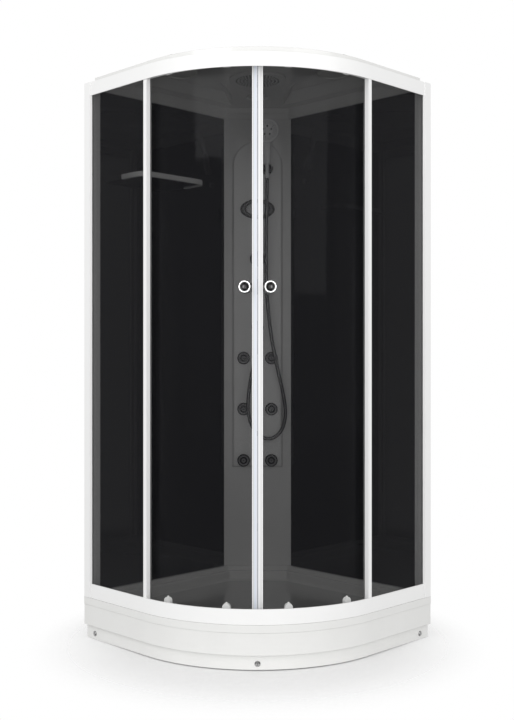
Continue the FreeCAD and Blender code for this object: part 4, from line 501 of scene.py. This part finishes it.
def area_light(name, place, target, width, height, watts):
    light = bpy.data.lights.new(name, "AREA")
    light.shape = "RECTANGLE"
    light.size = width
    light.size_y = height
    light.energy = watts
    lamp = link(name, light)
    lamp.location = place
    lamp.rotation_euler = (target - place).to_track_quat("-Z", "Y").to_euler()


make_stage()
make_world()
for light_row in LIGHTS:
    area_light(*light_row)


# ---------------------------------------------------------------- shower hose

HOSE_POINTS = [
    (38, 209, 1650),
    (36, 206, 1560),
    (35, 205, 1380),
    (38, 205, 1290),
    (45, 205, 1210),
    (56, 205, 1115),
    (78, 204, 1000),
    (106, 203, 880),
    (117, 203, 806),
    (107, 203, 745),
    (80, 204, 708),
    (45, 204.5, 695),
    (8, 205.5, 708),
    (-24, 206.5, 748),
    (-39, 208, 805),
    (-39, 209, 868),
    (-27, 211, 950),
    (-10, 213, 1025),
]
HOLDER_PLACE = (39, 237, 1799)
HANDSET_LEAN = math.radians(13)
HOSE_START_DOWN = 38.3  # from the holder down the handle's axis
HOSE_FIRST_DOWN = 88
OUTLET_OUT = 213.3
OUTLET_LOW = 1135.7
HOSE_TAIL = 50  # the straight end below the outlet
HOSE_DIAMETER = 0.014


def handset_point(x, y, z):
    """A point in millimetres in the hand shower's own frame: right, in, up the handle."""
    s, t, height = HOLDER_PLACE
    inward = y * math.cos(HANDSET_LEAN) - z * math.sin(HANDSET_LEAN)
    up = y * math.sin(HANDSET_LEAN) + z * math.cos(HANDSET_LEAN)
    return front(s + x, t - inward, height + up)


def make_hose():
    """The hose from the hand shower's foot down, round its loop and up to the outlet."""
    points = [handset_point(0, 0, -HOSE_START_DOWN), handset_point(0, 0, -HOSE_FIRST_DOWN)]
    points += [front(*point) for point in HOSE_POINTS]
    points += [front(0, OUTLET_OUT, OUTLET_LOW - HOSE_TAIL), front(0, OUTLET_OUT, OUTLET_LOW)]
    curve = bpy.data.curves.new("shower_hose_line", "CURVE")
    curve.dimensions = "3D"
    spline = curve.splines.new("NURBS")
    spline.points.add(len(points) - 1)
    for target, point in zip(spline.points, points):
        target.co = (*point, 1)
    spline.order_u = 3
    spline.use_endpoint_u = True
    spline.resolution_u = 10
    curve.bevel_depth = HOSE_DIAMETER / 2
    curve.bevel_resolution = 5
    curve.use_fill_caps = True
    curve.materials.append(HOSE_CHROME)
    hose = link("hose", curve)
    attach(hose, "cabin")
    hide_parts("shower_hose")


make_hose()


# ---------------------------------------------------------------- hand shower

HANDLE_SECTIONS = [  # height, half width, inner and outer y, in the hand shower's own frame
    (-38.2, 9.4, -9.4, 9.4), (-37.0, 9.5, -9.5, 9.5), (17.0, 11.4, -11.4, 11.4),
    (18.5, 13.6, -13.6, 13.6), (21.0, 15.0, -15.0, 15.0), (24.0, 15.5, -15.4, 15.5),
    (60.0, 15.5, -14.6, 15.3), (85.0, 15.2, -11.6, 14.6), (97.0, 15.6, -8.4, 13.8),
    (106.0, 17.4, -6.6, 12.4), (118.0, 21.0, -5.4, 10.6), (130.0, 17.0, -4.0, 9.0),
]
HEAD_PROFILE = [  # radius, y
    (0, -8.0), (40.6, -8.0), (41.2, -8.6), (42.4, -8.9), (44.1, -8.9), (47.6, -7.6), (48.8, -5.6),
    (48.9, 0.0), (46.5, 3.6), (39.2, 6.9), (28.0, 9.0), (17.0, 10.8), (0, 10.9),
]
HEAD_UP = 151
HEAD_LEAST_RADIUS = 0.5
HANDSET_ROUND = 48
HANDSET_SHARP_FROM = math.radians(35)


def turns(count, start=0.0):
    """Angles evenly round a circle."""
    return [math.tau * step / count + start for step in range(count)]


def skin(built, rings):
    """Join rings of points into a closed tube."""
    loops = [[built.verts.new(point) for point in ring] for ring in rings]
    for low, high in zip(loops, loops[1:]):
        for side in range(len(low)):
            after = (side + 1) % len(low)
            built.faces.new((low[side], low[after], high[after], high[side]))
    built.faces.new(list(reversed(loops[0])))
    built.faces.new(loops[-1])


def finish_mesh(name, built, material):
    """An object from a bmesh, with its normals outward."""
    bmesh.ops.recalc_face_normals(built, faces=built.faces[:])
    mesh = bpy.data.meshes.new(name)
    built.to_mesh(mesh)
    built.free()
    mesh.materials.append(material)
    return link(name, mesh)


def handle_ring(height, half, near, far):
    middle, deep = (near + far) / 2, (far - near) / 2
    return [handset_point(half * math.cos(turn), middle + deep * math.sin(turn), height)
            for turn in turns(HANDSET_ROUND)]


def head_ring(radius, y):
    reach = max(radius, HEAD_LEAST_RADIUS)
    return [handset_point(reach * math.cos(turn), y, HEAD_UP + reach * math.sin(turn))
            for turn in turns(HANDSET_ROUND)]


def make_handset():
    """The hand shower with its face clear of the handle, which tapers into the head's back."""
    built = bmesh.new()
    skin(built, [handle_ring(*section) for section in HANDLE_SECTIONS])
    skin(built, [head_ring(*row) for row in HEAD_PROFILE])
    made = finish_mesh("handset", built, HANDSET_WHITE)
    made.data.shade_smooth()
    made.data.set_sharp_from_angle(angle=HANDSET_SHARP_FROM)
    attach(made, "hand_shower")
    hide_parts("hand_shower")


make_handset()


# ---------------------------------------------------------------- spray nozzles

NOZZLE_SIDES = 8
NOZZLE_SINK = 0.0003
NOZZLE_RAISE = 0.0009
NOZZLE_PROFILE = [  # share of the radius, height over the spray face
    (1.0, -NOZZLE_SINK), (1.0, NOZZLE_RAISE * 0.6), (0.6, NOZZLE_RAISE),
]
RAIN_RINGS = [(0.013 * ring, 6 * ring, 0.0034) for ring in range(1, 7)]
HANDSET_RINGS = [
    (0.010, 8, 0.0010), (0.0175, 5, 0.0038), (0.0260, 20, 0.0016), (0.0320, 26, 0.0016),
    (0.0375, 30, 0.0016),
]
HANDSET_FACE = -8.0
RAIN_FACE_DEPTH = 0.0002


def on_circle(middle, across, up, radius, turn):
    return middle + (across * math.cos(turn) + up * math.sin(turn)) * radius


def nozzle_field(name, centre, across, up, out, rings, body):
    """Small rubber nozzles in rings on a spray face.

    Sizes in metres; a ring is (radius, count, nozzle radius).
    """
    built = bmesh.new()
    for ring, count, radius in rings:
        for place in turns(count, math.pi / 2):
            middle = on_circle(centre, across, up, ring, place)
            skin(built, [[on_circle(middle + out * height, across, up, radius * part, turn)
                          for turn in turns(NOZZLE_SIDES)] for part, height in NOZZLE_PROFILE])
    made = finish_mesh(name, built, RUBBER)
    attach(made, body)


def make_rain_nozzles():
    points = [vertex.co for vertex in NODES["rain_head"].data.vertices]
    low = min(point.z for point in points)
    flat = [point for point in points if point.z < low + RAIN_FACE_DEPTH]
    middle = sum(flat, Vector()) / len(flat)
    centre = Vector((middle.x, middle.y, low))
    nozzle_field("rain_nozzles", centre, RIGHT, OUT, -UP, RAIN_RINGS, "cabin")


def make_handset_nozzles():
    face = handset_point(0, HANDSET_FACE, HEAD_UP)
    up = (handset_point(0, HANDSET_FACE, HEAD_UP + 10) - face).normalized()
    out = (handset_point(0, HANDSET_FACE - 10, HEAD_UP) - face).normalized()
    nozzle_field("handset_nozzles", face, RIGHT, up, out, HANDSET_RINGS, "hand_shower")


make_rain_nozzles()
make_handset_nozzles()
